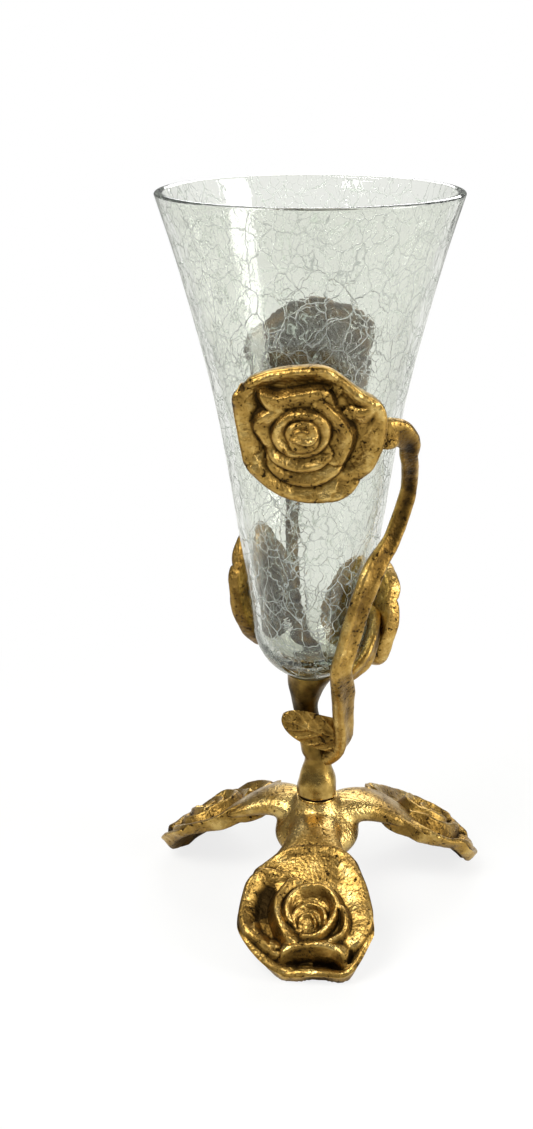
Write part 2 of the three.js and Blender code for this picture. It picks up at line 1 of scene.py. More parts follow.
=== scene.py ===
"""A crackle-glass trumpet vase in a cast brass rose holder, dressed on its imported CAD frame.

Sizes are in millimetres in the holder's own frame, where the screw's axis is x = y = 0, the front is -Y
and the table is z = 0. They become metres in the shared frame in one place, `to_frame`.
"""
import math
from collections import namedtuple

import bmesh
import bpy
import numpy as np
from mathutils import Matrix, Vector, noise

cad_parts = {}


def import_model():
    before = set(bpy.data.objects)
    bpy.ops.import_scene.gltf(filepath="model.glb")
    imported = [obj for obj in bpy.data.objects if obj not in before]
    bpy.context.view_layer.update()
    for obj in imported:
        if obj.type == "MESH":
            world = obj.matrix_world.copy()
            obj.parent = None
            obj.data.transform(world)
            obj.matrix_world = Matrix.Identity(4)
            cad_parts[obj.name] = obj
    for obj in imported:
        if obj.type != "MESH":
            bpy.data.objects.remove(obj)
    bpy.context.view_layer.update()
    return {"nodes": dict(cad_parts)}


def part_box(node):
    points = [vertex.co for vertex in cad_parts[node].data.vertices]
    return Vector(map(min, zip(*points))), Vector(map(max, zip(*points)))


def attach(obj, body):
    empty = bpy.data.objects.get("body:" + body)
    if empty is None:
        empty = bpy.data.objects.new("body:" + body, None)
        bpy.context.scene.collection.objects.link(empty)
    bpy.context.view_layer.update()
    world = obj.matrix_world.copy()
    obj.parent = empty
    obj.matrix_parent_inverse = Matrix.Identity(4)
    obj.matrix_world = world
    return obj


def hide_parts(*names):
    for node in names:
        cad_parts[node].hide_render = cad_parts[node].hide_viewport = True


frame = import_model()

MM = 0.001

# Where the CAD model stands
stud_low, stud_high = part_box("threaded_stud")
glass_low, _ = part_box("glass_vase")
hub_low, hub_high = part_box("base_hub")
SCREW_AXIS = Vector(((stud_low.x + stud_high.x) / 2, (stud_low.y + stud_high.y) / 2, 0))
HOLDER_TURN = 4.5  # degrees past the front foot at which the thread comes up tight
FIT_GAP = 0.3

# Glass: a round-ended trumpet, radii at heights above its lowest point
GLASS_END = glass_low.z / MM
GLASS_OFFSET = -2.0  # its axis, left of the screw's
GLASS_HEIGHT = 134.6
GLASS_END_DEPTH = 16.7
GLASS_FLARE = [(15.9, GLASS_END_DEPTH), (19.5, 42.9), (25.4, 79.9), (33.4, 112.9), (39.9, GLASS_HEIGHT)]
GLASS_WALL = 2.2
GLASS_FLOOR = 4.5
GLASS_RIM_RISE = 0.75  # the fire-polished rim is a low round
GLASS_SEGMENTS = 128

# Blooms: azimuth from the front towards the right, height above the glass's end, turn in their own plane, and
# an
# offset of their tarnish: minus is painted light where the lamps leave a bloom in shade, plus is grime and
# painted shade
ROSES = {
    "front": dict(azimuth=-0.9, up=78, width=38, height=37.2, turn=0, painted_light_and_grime=0, seed=3.0),
    "back": dict(azimuth=179.5, up=83.9, width=39.3, height=35.5, turn=0, painted_light_and_grime=0.4, seed=11.0),
    "left": dict(azimuth=-133, up=21.6, width=21.5, height=36.5, turn=75, painted_light_and_grime=0.12, seed=23.0),
    "right": dict(azimuth=127, up=15.3, width=29, height=33.5, turn=200, painted_light_and_grime=-0.2, seed=37.0),
}
ROSE_BACK = 2.4  # metal behind the plane of a bloom's rim
ROSE_TUCK = 0.03  # share by which the back is narrower than the face

# Base hub and stem
HUB_TOP = hub_high.z / MM
HUB_BOTTOM = hub_low.z / MM
HUB_NECK = 5.3
HUB_NECK_FOOT = HUB_TOP - 9
HUB_SKIRT = 7
HUB_SKIRT_TOP = HUB_TOP - 9.5
STUD_BORE = 2.8
NUT_POCKET = 6.4
STEM_FOOT = HUB_TOP + 0.6
NECK = HUB_TOP + 12

# Camera, found from the rim, the seam ring and the three feet in the photo
PHOTO_WIDTH = 533
PHOTO_HEIGHT = 1129
CAMERA_BACK = 400.0
CAMERA_RIGHT = -2.055
CAMERA_UP = 245.5
CAMERA_PITCH = 19.78
FOCAL_PIXELS = 1537.9
MIDDLE_PIXEL = 310  # the photo was cropped, so the lens points at this column
SENSOR = 36.0


# Small tools

def to_frame(points, turn=HOLDER_TURN):
    """Holder millimetres to metres in the shared frame."""
    points = np.asarray(points, float)
    c, s = math.cos(math.radians(turn)), math.sin(math.radians(turn))
    x = points[..., 0] * c - points[..., 1] * s
    y = points[..., 0] * s + points[..., 1] * c
    return np.stack([x * MM + SCREW_AXIS.x, y * MM + SCREW_AXIS.y, points[..., 2] * MM], axis=-1)


def colour(code):
    """An sRGB hex colour as linear RGBA."""
    parts = [int(code[i:i + 2], 16) / 255 for i in (1, 3, 5)]
    return [p / 12.92 if p <= 0.04045 else ((p + 0.055) / 1.055) ** 2.4 for p in parts] + [1.0]


def feed(node, sockets):
    """Sets a node's sockets: an output is linked, a node means its first output, other values are set."""
    for name, value in sockets.items():
        if isinstance(value, bpy.types.Node):
            value = value.outputs[0]
        if isinstance(value, bpy.types.NodeSocket):
            node.id_data.links.new(value, node.inputs[name])
        else:
            node.inputs[name].default_value = value


def adder(tree):
    """A function that adds a node to a tree, with its sockets and its settings."""
    def add(kind, sockets=None, **settings):
        made = tree.nodes.new(kind)
        for name, value in settings.items():
            setattr(made, name, value)
        feed(made, sockets or {})
        return made
    return add


def smooth_step(share):
    share = np.clip(share, 0, 1)
    return share * share * (3 - 2 * share)


def spline(points, share):
    """A point on the smooth curve through evenly timed points, share 0 to 1."""
    points = np.asarray(points, float)
    last = len(points) - 1
    at = np.clip(np.asarray(share, float), 0, 1) * last
    i = np.minimum(np.floor(at).astype(int), last - 1)
    t = (at - i)[..., None]
    p0, p1 = points[np.maximum(i - 1, 0)], points[i]
    p2, p3 = points[i + 1], points[np.minimum(i + 2, last)]
    v1, v2 = (p2 - p0) / 2, (p3 - p1) / 2
    return p1 + v1 * t + (3 * (p2 - p1) - 2 * v1 - v2) * t ** 2 + (2 * (p1 - p2) + v1 + v2) * t ** 3


def round_angles(count):
    return np.linspace(0, 2 * math.pi, count, endpoint=False)


def round_rings(radius, height, sides):
    """Rings of points about the screw's axis."""
    angle = round_angles(sides)
    x, y = radius * np.cos(angle), radius * np.sin(angle)
    return np.stack([x, y, np.broadcast_to(height, x.shape)], axis=-1)


def bow(start, middle, end, along):
    """Points on a bow from start to end, drawn towards a middle."""
    return start * (1 - along) ** 2 + middle * 2 * along * (1 - along) + end * along ** 2


def tilted(outward, lean):
    """Outward and upward directions, tipped forward."""
    rise = np.array([0, 0, 1.0])
    return outward * math.cos(lean) - rise * math.sin(lean), outward * math.sin(lean) + rise * math.cos(lean)


def mark(mesh, name, values):
    """Keeps a number with each point of a mesh."""
    mesh.attributes.new(name, "FLOAT", "POINT").data.foreach_set("value", np.asarray(values, np.float32))


def linked(name, data):
    """A new object in the scene."""
    made = bpy.data.objects.new(name, data)
    bpy.context.scene.collection.objects.link(made)
    return made


def as_object(name, mesh, material):
    mesh.materials.clear()
    mesh.materials.append(material)
    return linked(name, mesh)


def finished_mesh(source):
    """A plain mesh of an object with its modifiers applied."""
    bpy.context.view_layer.update()
    return bpy.data.meshes.new_from_object(source.evaluated_get(bpy.context.evaluated_depsgraph_get()))


def closed_skin(name, rings, material, turn=HOLDER_TURN, **marks):
    """An object skinned over rings of points, closed by a pole at each end. Marks are numbers per point."""
    rings = np.asarray(rings, float)
    count, around = rings.shape[:2]
    points = np.concatenate([rings.reshape(-1, 3), [rings[0].mean(axis=0)], [rings[-1].mean(axis=0)]])
    i, k = np.meshgrid(np.arange(count - 1), np.arange(around), indexing="ij")
    a, b = i * around + k, i * around + (k + 1) % around
    quads = np.stack([a, b, b + around, a + around], axis=-1).reshape(-1, 4)
    first, last = count * around, count * around + 1
    top = (count - 1) * around
    caps = [(first, (j + 1) % around, j) for j in range(around)]
    caps += [(last, top + j, top + (j + 1) % around) for j in range(around)]
    faces = quads.tolist() + caps
    a, b, c, d = (points[quads[:, n]] for n in range(4))
    volume = np.einsum("ij,ij->", a, np.cross(b, c)) + np.einsum("ij,ij->", a, np.cross(c, d))
    if volume < 0:
        faces = [face[::-1] for face in faces]
    mesh = bpy.data.meshes.new(name)
    mesh.from_pydata(to_frame(points, turn).tolist(), [], faces)
    mesh.shade_smooth()
    for label, values in marks.items():
        values = np.asarray(values, float)
        mark(mesh, label, np.concatenate([values.reshape(-1), [values[0].mean()], [values[-1].mean()]]))
    return as_object(name, mesh, material)


def dress(piece, body, slot, *nodes):
    """Puts a finished piece in the place of its CAD nodes."""
    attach(piece, body)
    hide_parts(*nodes)


WELD = 0.002  # points closer than this are one


def grown(name, source, tree, values, material):
    """The plain mesh that a Geometry Nodes tree makes of a source mesh."""
    seed = linked(name + "_source", source)
    modifier = seed.modifiers.new("grow", "NODES")
    modifier.node_group = tree
    names = {item.name: item.identifier for item in tree.interface.items_tree if item.item_type == "SOCKET"}
    for socket, value in {**values, "Material": material}.items():
        modifier[names[socket]] = value
    grown_mesh = finished_mesh(seed)
    grown_mesh.name = name
    seed.modifiers.remove(modifier)
    bpy.data.objects.remove(seed)
    shell = bmesh.new()
    shell.from_mesh(grown_mesh)
    bmesh.ops.remove_doubles(shell, verts=shell.verts, dist=WELD * MM)
    bmesh.ops.recalc_face_normals(shell, faces=shell.faces)
    shell.to_mesh(grown_mesh)
    shell.free()
    return as_object(name, grown_mesh, material)


def new_tree(name, inputs):
    """An empty Geometry Nodes tree with a Geometry and a Material socket and further named inputs."""
    tree = bpy.data.node_groups.new(name, "GeometryNodeTree")
    tree.interface.new_socket("Geometry", in_out="OUTPUT", socket_type="NodeSocketGeometry")
    inputs = {"Geometry": "NodeSocketGeometry", "Material": "NodeSocketMaterial", **inputs}
    for socket, kind in inputs.items():
        tree.interface.new_socket(socket, in_out="INPUT", socket_type=kind)
    add = adder(tree)
    return tree, add, add("NodeGroupInput").outputs


def end_tree(add, geometry, material):
    """Ends a tree in smooth, plain geometry with its material."""
    smooth = add("GeometryNodeSetShadeSmooth", {"Geometry": geometry})
    plain = add("GeometryNodeRealizeInstances", {"Geometry": smooth})
    done = add("GeometryNodeSetMaterial", {"Geometry": plain, "Material": material})
    add("NodeGroupOutput", {"Geometry": done})


# Materials

def new_material(name):
    made = bpy.data.materials.new(name)
    made.use_nodes = True
    made.node_tree.nodes.clear()
    add = adder(made.node_tree)
    where = add("ShaderNodeTexCoord").outputs["Object"]
    shader = add("ShaderNodeBsdfPrincipled")
    add("ShaderNodeOutputMaterial", {"Surface": shader})
    return made, add, where, shader


def per(size_mm):
    """Texture scale for a pattern of this size."""
    return 1 / (size_mm * MM)


def paint(ramp, stops):
    """Sets a colour ramp's stops."""
    while len(ramp.color_ramp.elements) < len(stops):
        ramp.color_ramp.elements.new(0.5)
    for stop, (at, code) in zip(ramp.color_ramp.elements, stops):
        stop.position = at
        stop.color = colour(code)


def sand_cast_brass():
    """Cast brass, polished by hand: bright worn lips, brown tarnish and painted shade in the hollows, fine
    sand pits.
    """
    made, add, where, shader = new_material("sand_cast_brass")
    hollow = add("ShaderNodeAttribute", attribute_name="hollow").outputs["Fac"]
    cloud = add("ShaderNodeTexNoise", {"Vector": where, "Scale": per(6), "Detail": 6.0, "Roughness": 0.65})
    grit = add("ShaderNodeTexNoise", {"Vector": where, "Scale": per(0.8), "Detail": 3.0})
    pits = add("ShaderNodeTexNoise", {"Vector": where, "Scale": per(1.1), "Detail": 4.0, "Roughness": 0.6})
    holes = add("ShaderNodeMapRange", {"Value": pits, "From Min": 0.56, "From Max": 0.68})
    patches = add("ShaderNodeMapRange", {"Value": cloud, "From Min": 0.44, "From Max": 0.6, "To Max": 0.8})
    specks = add("ShaderNodeMath", {0: holes, 1: patches}, operation="MULTIPLY")
    # the hollow mark brings tarnish and painted shade, the cloud a random mottle
    tarnish_shade_and_mottle = add("ShaderNodeMath", {0: hollow, 1: 0.7, 2: cloud}, operation="MULTIPLY_ADD")
    deep = add("ShaderNodeMath", {0: tarnish_shade_and_mottle, 1: specks}, operation="ADD")
    tone = add("ShaderNodeValToRGB", {"Fac": deep})
    paint(tone, [(0.34, "#c9ab68"), (0.5, "#a58444"), (0.75, "#6a5023"), (1.0, "#2c200e")])
    dull = add("ShaderNodeMapRange", {"Value": deep, "From Min": 0.34, "To Min": 0.26, "To Max": 0.55})
    pocked = add("ShaderNodeBump", {"Strength": 0.6, "Distance": 0.5 * MM, "Height": grit})
    dented = add("ShaderNodeBump",
                 {"Strength": 0.5, "Distance": 0.3 * MM, "Height": specks, "Normal": pocked}, invert=True)
    feed(shader, {"Base Color": tone, "Metallic": 1.0, "Roughness": dull, "Normal": dented})
    return made


WAVE_RATE = 20  # how fast a wave texture of scale 1 runs


def turned_brass():
    """Turned and buffed brass: smooth, with faint lathe rings, dents, and tarnish with painted shade where no
    cloth gets.
    """
    made, add, where, shader = new_material("turned_brass")
    hollow = add("ShaderNodeAttribute", attribute_name="hollow").outputs["Fac"]
    cloud = add("ShaderNodeTexNoise", {"Vector": where, "Scale": per(5), "Detail": 6.0, "Roughness": 0.6})
    tarnish_shade_and_mottle = add("ShaderNodeMath", {0: hollow, 1: 0.6, 2: cloud}, operation="MULTIPLY_ADD")
    tone = add("ShaderNodeValToRGB", {"Fac": tarnish_shade_and_mottle})
    paint(tone, [(0.34, "#b89a58"), (0.6, "#866a33"), (1.0, "#33260f")])
    dull = add("ShaderNodeMapRange", {"Value": tarnish_shade_and_mottle, "From Min": 0.34, "To Min": 0.15, "To Max": 0.5})
    rings = add("ShaderNodeTexWave",
                {"Vector": where, "Scale": per(0.6) / WAVE_RATE, "Distortion": 0.4}, bands_direction="Z")
    lines = add("ShaderNodeBump", {"Strength": 0.04, "Distance": 0.1 * MM, "Height": rings.outputs["Fac"]})
    dents = add("ShaderNodeBump", {"Strength": 0.3, "Distance": 0.8 * MM, "Height": cloud, "Normal": lines})
    feed(shader, {"Base Color": tone, "Metallic": 1.0, "Roughness": dull, "Normal": dents})
    return made


def crackle_glass():
    """Clear blown glass quenched in water: a web of fine cracks, grey against white and pale against dark."""
    made, add, where, shader = new_material("crackle_glass")
    thick = add("ShaderNodeAttribute", attribute_name="thick").outputs["Fac"]
    outside = add("ShaderNodeAttribute", attribute_name="outside").outputs["Fac"]
    # darker at the thick round end: the thicker glass, and painted shade standing in for the dark brass seen
    # through it
    thick_end_tint_and_shade = add("ShaderNodeMix", {0: thick, 6: colour("#eceee8"), 7: colour("#b4b7aa")}, data_type="RGBA")
    tall = add("ShaderNodeMapping", {"Vector": where, "Scale": (1, 1, 0.7)}, vector_type="POINT")
    drift = add("ShaderNodeTexNoise", {"Vector": where, "Scale": per(7), "Detail": 3.0})
    bent = add("ShaderNodeVectorMath",
               {0: drift.outputs["Color"], 1: (5 * MM, 5 * MM, 5 * MM), 2: tall}, operation="MULTIPLY_ADD")
    coarse = {"Vector": bent, "Scale": per(5.4)}
    web = add("ShaderNodeTexVoronoi", coarse, feature="DISTANCE_TO_EDGE")
    cells = add("ShaderNodeTexVoronoi", coarse)
    fine = add("ShaderNodeTexVoronoi", {"Vector": bent, "Scale": per(2.3)}, feature="DISTANCE_TO_EDGE")
    wide = add("ShaderNodeMapRange", {"Value": web, "From Max": 0.026, "To Min": 1.0, "To Max": 0.0})
    thin = add("ShaderNodeMapRange", {"Value": fine, "From Max": 0.04, "To Min": 0.8, "To Max": 0.0})
    broken = add("ShaderNodeMapRange", {"Value": drift, "From Min": 0.45, "From Max": 0.6})
    short = add("ShaderNodeMath", {0: thin, 1: broken}, operation="MULTIPLY")
    either = add("ShaderNodeMath", {0: wide, 1: short}, operation="MAXIMUM")
    cracks = add("ShaderNodeMath", {0: either, 1: outside}, operation="MULTIPLY")
    share = add("ShaderNodeMath", {0: cracks, 1: 0.85}, operation="MULTIPLY")
    domed = add("ShaderNodeBump", {"Strength": 0.08, "Distance": MM, "Height": cells})
    dent = add("ShaderNodeBump",
               {"Strength": 0.3, "Distance": 0.2 * MM, "Height": cracks, "Normal": domed}, invert=True)
    feed(shader, {"Base Color": thick_end_tint_and_shade.outputs[2], "Transmission Weight": 1.0, "Roughness": 0.02, "IOR": 1.47,
                  "Normal": dent})
    frost = add("ShaderNodeBsdfDiffuse", {"Color": colour("#9a9f99")})
    cracked = add("ShaderNodeMixShader", {0: share, 1: shader, 2: frost})
    passing = add("ShaderNodeBsdfTransparent", {"Color": colour("#eef2ee")})
    shadow = add("ShaderNodeLightPath").outputs["Is Shadow Ray"]
    lit = add("ShaderNodeMixShader", {0: shadow, 1: cracked, 2: passing})
    feed(made.node_tree.nodes["Material Output"], {"Surface": lit})
    return made


def zinc_plated_steel():
    """Plated fixings: grey metal with a slight bloom and fine scuffs."""
    made, add, where, shader = new_material("zinc_plated_steel")
    bloom = add("ShaderNodeTexNoise", {"Vector": where, "Scale": per(1.5), "Detail": 4.0})
    tone = add("ShaderNodeMix", {0: bloom, 6: colour("#a5a6a4"), 7: colour("#7d7e7c")}, data_type="RGBA")
    dull = add("ShaderNodeMapRange", {"Value": bloom, "To Min": 0.25, "To Max": 0.5})
    feed(shader, {"Base Color": tone.outputs[2], "Metallic": 1.0, "Roughness": dull})
    return made


def black_rubber():
    """A thin pressed ring: matt black with a faint grain."""
    made, add, where, shader = new_material("black_rubber")
    grain = add("ShaderNodeTexNoise", {"Vector": where, "Scale": per(0.5), "Detail": 3.0})
    tone = add("ShaderNodeMix", {0: grain, 6: colour("#1c1712"), 7: colour("#2e261d")}, data_type="RGBA")
    uneven = add("ShaderNodeBump", {"Strength": 0.2, "Distance": 0.1 * MM, "Height": grain})
    feed(shader, {"Base Color": tone.outputs[2], "Roughness": 0.75, "Normal": uneven})
    return made


CAST = sand_cast_brass()
TURNED = turned_brass()
GLASS = crackle_glass()
STEEL = zinc_plated_steel()
RUBBER = black_rubber()


# Places on and round the glass

GLASS_LINE = spline(GLASS_FLARE, np.linspace(0, 1, 60))


def glass_radius(up):
    up = np.asarray(up, float)
    end = GLASS_FLARE[0][0] * np.sqrt(np.clip(1 - ((GLASS_END_DEPTH - up) / GLASS_END_DEPTH) ** 2, 0, 1))
    return np.where(up < GLASS_END_DEPTH, end, np.interp(up, GLASS_LINE[:, 1], GLASS_LINE[:, 0]))


def bearings(azimuth):
    """Outward and sideways directions at an azimuth."""
    angle = math.radians(azimuth)
    outward = np.array([math.sin(angle), -math.cos(angle), 0])
    sideways = np.array([math.cos(angle), math.sin(angle), 0])
    return outward, sideways


def beside_glass(azimuth, up, standoff):
    outward, _ = bearings(azimuth)
    return outward * (float(glass_radius(up)) + standoff) + [GLASS_OFFSET, 0, GLASS_END + up]


def rose_axes(rose):
    """Middle, sideways, upward and facing directions of a bloom that leans with the glass."""
    outward, sideways = bearings(rose["azimuth"])
    quarter = rose["height"] / 4
    widening = float(glass_radius(rose["up"] + quarter) - glass_radius(rose["up"] - quarter))
    lean = math.atan2(widening, 2 * quarter)
    along = np.linspace(-0.5, 0.5, 13) * rose["height"]
    up = rose["up"] + along * math.cos(lean) + ROSE_BACK * math.sin(lean)
    reach = (glass_radius(up) - along * math.sin(lean) + ROSE_BACK * math.cos(lean)).max() + FIT_GAP
    face, top = tilted(outward, lean)
    middle = outward * reach + [GLASS_OFFSET, 0, GLASS_END + rose["up"]]
    return middle, sideways, top, face


def on_rose(rose, across, upward, out):
    middle, sideways, top, face = rose_axes(rose)
    return middle + sideways * across * rose["width"] / 2 + top * upward * rose["height"] / 2 + face * out


# Blooms

# Petals on the casting, from the rim inwards. A lip and its hidden root are points in
# hundredths of the bloom's half width and half height; a petal without a root closes on itself. In
# millimetres: the lip stands at its rise and rounds off by its curl over its own width, and the petal falls
# by its fall over its roll to the root.
Petal = namedtuple("Petal", "rise fall roll curl width root lip")
BRANCH_PETALS = [
    Petal(2.2, 1.8, 6, 0.6, 1.4, root=[(-40, -20), (-40, 50)],
          lip=[(-93, 66), (-97, 38), (-92, 5), (-88, -20), (-80, -45)]),
    Petal(2.6, 1.9, 4, 0.9, 1.5, root=[(20, 40), (-50, 45)],
          lip=[(-84, 74), (-49, 93), (0, 100), (28, 97), (46, 75)]),
    Petal(2.6, 1.9, 4, 0.9, 1.6, root=[(50, 30), (12, 60)],
          lip=[(14, 98), (46, 84), (64, 68), (85, 55), (93, 46)]),
    Petal(2.2, 1.9, 5, 0.5, 1.4, root=[(35, -50), (35, 10)],
          lip=[(50, 42), (70, 42), (88, 50), (100, 38), (102, 15), (100, -5), (95, -24), (84, -50),
               (62, -68)]),
    Petal(1.9, 0.7, 4, 0.5, 1.2, root=[(20, -70), (40, -55)],
          lip=[(66, -64), (60, -84), (42, -95), (22, -98)]),
    Petal(2.4, 1.5, 5, 0.6, 1.5, root=[(30, -50), (-40, -20)],
          lip=[(-83, -38), (-66, -64), (-43, -85), (-15, -99), (16, -100), (36, -88)]),
    Petal(2.9, 1.2, 4, 0.4, 1.2, root=[(10, -10), (-40, 0)],
          lip=[(-56, -34), (-32, -66), (0, -74), (28, -63), (44, -40)]),
    Petal(3.5, 1.3, 4, 0.3, 0.9, root=[(30, 30), (-20, 20)],
          lip=[(-50, 40), (-62, 66), (-40, 61), (-12, 66), (26, 68)]),
    Petal(3.2, 1.1, 4, 0.3, 1.0, root=[(-20, -20), (-10, 20)],
          lip=[(-38, 42), (-60, 34), (-71, 18), (-62, 0), (-50, -16)]),
    Petal(3.6, 1.6, 4, 0.3, 0.9, root=[(5, -20), (0, 30)],
          lip=[(12, 58), (36, 38), (50, 18), (57, 0), (51, -24), (38, -42)]),
    Petal(3.4, 1.4, 3, 0.4, 1.1, root=[(0, 10), (-40, 10)],
          lip=[(-54, -12), (-46, -34), (-22, -49), (2, -50), (22, -40), (32, -20)]),
    Petal(3.9, 1.1, 2.4, 0.5, 1.2, root=[(-20, 0), (5, 20)],
          lip=[(10, 38), (26, 22), (28, 2), (18, -17), (-5, -27), (-32, -22)]),
    Petal(4.2, 1.2, 2.4, 0.5, 1.2, root=[(10, 5), (-10, -10)],
          lip=[(-30, -22), (-46, -2), (-44, 18), (-28, 36), (-4, 41), (14, 33)]),
    Petal(4.2, 0.3, 2, 0.6, 1.2, root=[],
          lip=[(-30, 10), (-20, 24), (2, 26), (13, 10), (12, -10), (-2, -20), (-20, -16)]),
    Petal(4.8, 0.8, 1.5, 0.3, 0.7, root=[(0, 24), (-20, 20)],
          lip=[(-26, 4), (-12, -5), (4, -6), (12, 6)]),
    Petal(5.1, 0.9, 0.7, 0.3, 0.5, root=[(-2, 7), (-14, 7)],
          lip=[(-20, 12), (-10, 18), (2, 13)]),
]
FOOT_PETALS = [
    Petal(1.6, 1.8, 6, 0.5, 1.4, root=[(50, 20), (-40, 30)],
          lip=[(-85, 50), (-70, 69), (-50, 87), (-26, 97), (10, 100), (41, 98), (60, 86), (75, 60)]),
    Petal(2.3, 3.3, 5, 0.6, 1.2, root=[(-10, -30), (-20, 40)],
          lip=[(-38, 57), (-68, 60), (-87, 44), (-96, 25), (-99, -20), (-90, -45), (-70, -62), (-45, -70)]),
    Petal(2.3, 1.9, 7, 0.5, 1.2, root=[(30, -40), (30, 40)],
          lip=[(55, 85), (80, 48), (93, 10), (97, -20), (88, -45), (74, -62), (56, -60)]),
    Petal(0.9, 1.4, 4, 0.4, 1.2, root=[(10, -70), (-40, -30)],
          lip=[(-98, -24), (-95, -47), (-80, -68), (-57, -87), (-30, -98), (0, -99)]),
    Petal(1.9, 2.7, 3, 0.4, 1.0, root=[(-20, -30), (-50, -10)],
          lip=[(-80, -34), (-66, -58), (-46, -75), (-28, -70)]),
    Petal(1.2, 2.2, 4, 0.4, 1.0, root=[(50, -45), (-20, -50)],
          lip=[(-30, -97), (0, -100), (40, -100), (64, -97), (80, -80), (94, -52), (99, -28)]),
    Petal(3.6, 2.4, 4, 0.3, 0.9, root=[(15, -48), (15, 22)],
          lip=[(-20, 44), (-38, 25), (-48, 0), (-45, -23), (-35, -45), (-18, -62)]),
    Petal(3.1, 1.8, 4, 0.3, 0.8, root=[(60, -50), (10, -25), (-25, -50)],
          lip=[(-34, -78), (-12, -70), (20, -66), (45, -70), (62, -80)]),
    Petal(3.4, 2.2, 2.4, 0.3, 0.8, root=[(10, -54), (10, -8)],
          lip=[(45, 2), (60, -18), (58, -44), (40, -56)]),
    Petal(3.8, 2.3, 2.4, 0.3, 0.8, root=[(0, -28), (20, -8)],
          lip=[(44, -8), (36, -34), (18, -53), (-8, -53)]),
    Petal(4.4, 2.9, 2.8, 0.3, 0.9, root=[(20, -28), (-10, -33)],
          lip=[(-26, -30), (-31, -3), (-16, 22), (14, 30), (36, 19), (47, -6)]),
    Petal(3.4, 1.5, 1.6, 0.3, 0.8, root=[(12, -44), (-6, -44)],
          lip=[(-20, -32), (-17, -12), (2, 2), (24, -6), (30, -30)]),
    Petal(3.3, 1.0, 1.0, 0.3, 0.7, root=[(6, -44), (-4, -44)],
          lip=[(-11, -34), (-6, -20), (8, -17), (16, -34)]),
]
WALL_SLOPE = 2.1  # steepness of the step below a lip
LIP_END = 0.16  # share of a lip over which its ends sink
LIP_END_SINK = 0.9
LIP_END_REACH = 3.0  # how far in from the lip the sinking is felt
STEPS_PER_POINT = 6
BLOOM_RINGS = 120
BLOOM_COLUMNS = 280
OUTLINE_EASE = 4  # columns on each side that an outline's corner is eased over
RIM_ROLL = 0.035  # share by which the rim's half round stands out
BACK_DISH = 0.6

# Tarnish and painted shade: 0 is bright, 1 is brown
CREASE_ROUNDS = 40  # rounds of smoothing that a crease is measured against
CREASE_DEPTH = 0.6
# low faces are darker: painted shade with tarnish
LOW_LEVEL = 0.6  # a face lower than this is dull,
LOW_FADE = 2  # more so over this depth,
LOW_SHADE_AND_TARNISH = 0.8  # up to this
# steep walls are darker: painted shade with tarnish
WALL_SHADE_AND_TARNISH = 0.38
STEEP = 0.9  # slope from which a face counts as a wall
BACK_TARNISH = 0.3  # the backs of the blooms are left as they were cast
# darker in the middle of the back, between the bloom and the glass: tarnish and painted shade
BACK_MIDDLE_SHADE_AND_TARNISH = 0.85  # no cloth gets between the bloom and the glass

# Length and height of a casting's unevenness
CAST_WAVES = [(9.0, 0.9), (4.0, 0.3), (1.2, 0.08)]


def across_bloom(radius, bearing, half):
    """Places at a share of the way out, from a bloom's half width and half height."""
    return radius * np.cos(bearing) * half[0], radius * np.sin(bearing) * half[1]


def inside_petal(petal, x, y, half):
    """Whether points lie on a petal, their distances from its lip and whole edge, how near a lip's end."""
    outline = np.array([*petal.lip, *petal.root]) / 100
    count = len(outline)
    share = np.arange(1, count + 1, 1 / STEPS_PER_POINT) / (count + 2)
    corners = spline([outline[-1], *outline, *outline[:2]], share) * half
    lip_steps = (len(petal.lip) - 1) * STEPS_PER_POINT if petal.root else len(corners)
    from_lip = np.full(x.shape, np.inf)
    from_edge = np.full(x.shape, np.inf)
    to_end = np.full(x.shape, np.inf)
    within = np.zeros(x.shape, bool)
    for step, ((ax, ay), (bx, by)) in enumerate(zip(corners, np.roll(corners, -1, axis=0))):
        ex, ey = bx - ax, by - ay
        along = np.clip(((x - ax) * ex + (y - ay) * ey) / (ex * ex + ey * ey), 0, 1)
        distance = np.hypot(x - ax - along * ex, y - ay - along * ey)
        from_edge = np.minimum(from_edge, distance)
        if step < lip_steps:
            nearer = distance < from_lip
            from_lip = np.where(nearer, distance, from_lip)
            end = np.minimum(step + along, lip_steps - step - along) / lip_steps
            to_end = np.where(nearer, end if petal.root else 1.0, to_end)
        crosses = (ay > y) != (by > y)
        within ^= crosses & (x < ax + (y - ay) * ex / (ey or 1e-9))
    return within, from_lip, from_edge, to_end


def bloom_outline(petals, bearing, half):
    """How far the petals reach at each bearing, as a share, its corners eased."""
    reach = np.zeros_like(bearing)
    share = np.linspace(0.5, 1.2, 71)[:, None]
    x, y = across_bloom(share, bearing, half)
    for petal in petals:
        within, *_ = inside_petal(petal, x, y, half)
        reach = np.maximum(reach, (share * within).max(axis=0))
    return sum(np.roll(reach, k) for k in range(-OUTLINE_EASE, OUTLINE_EASE + 1)) / (2 * OUTLINE_EASE + 1)


def bloom_relief(petals, x, y, half):
    """Height of the uppermost petal at each point of a bloom's face."""
    height = np.full(x.shape, -1.0)
    for petal in petals:
        within, from_lip, from_edge, to_end = inside_petal(petal, x, y, half)
        sunk = LIP_END_SINK * np.clip(1 - to_end / LIP_END, 0, 1) ** 2
        sunk = sunk * np.clip(1 - from_lip / LIP_END_REACH, 0, 1)
        curl = petal.curl * np.clip(1 - from_lip / petal.width, 0, 1) ** 2
        fall = petal.fall * smooth_step((from_lip - petal.width / 2) / petal.roll)
        step = petal.curl * (from_lip == from_edge) + petal.fall * (from_lip > from_edge)
        skin = petal.rise - np.where(within, curl + fall, step + WALL_SLOPE * from_edge)
        height = np.maximum(height, skin - sunk)
    return height


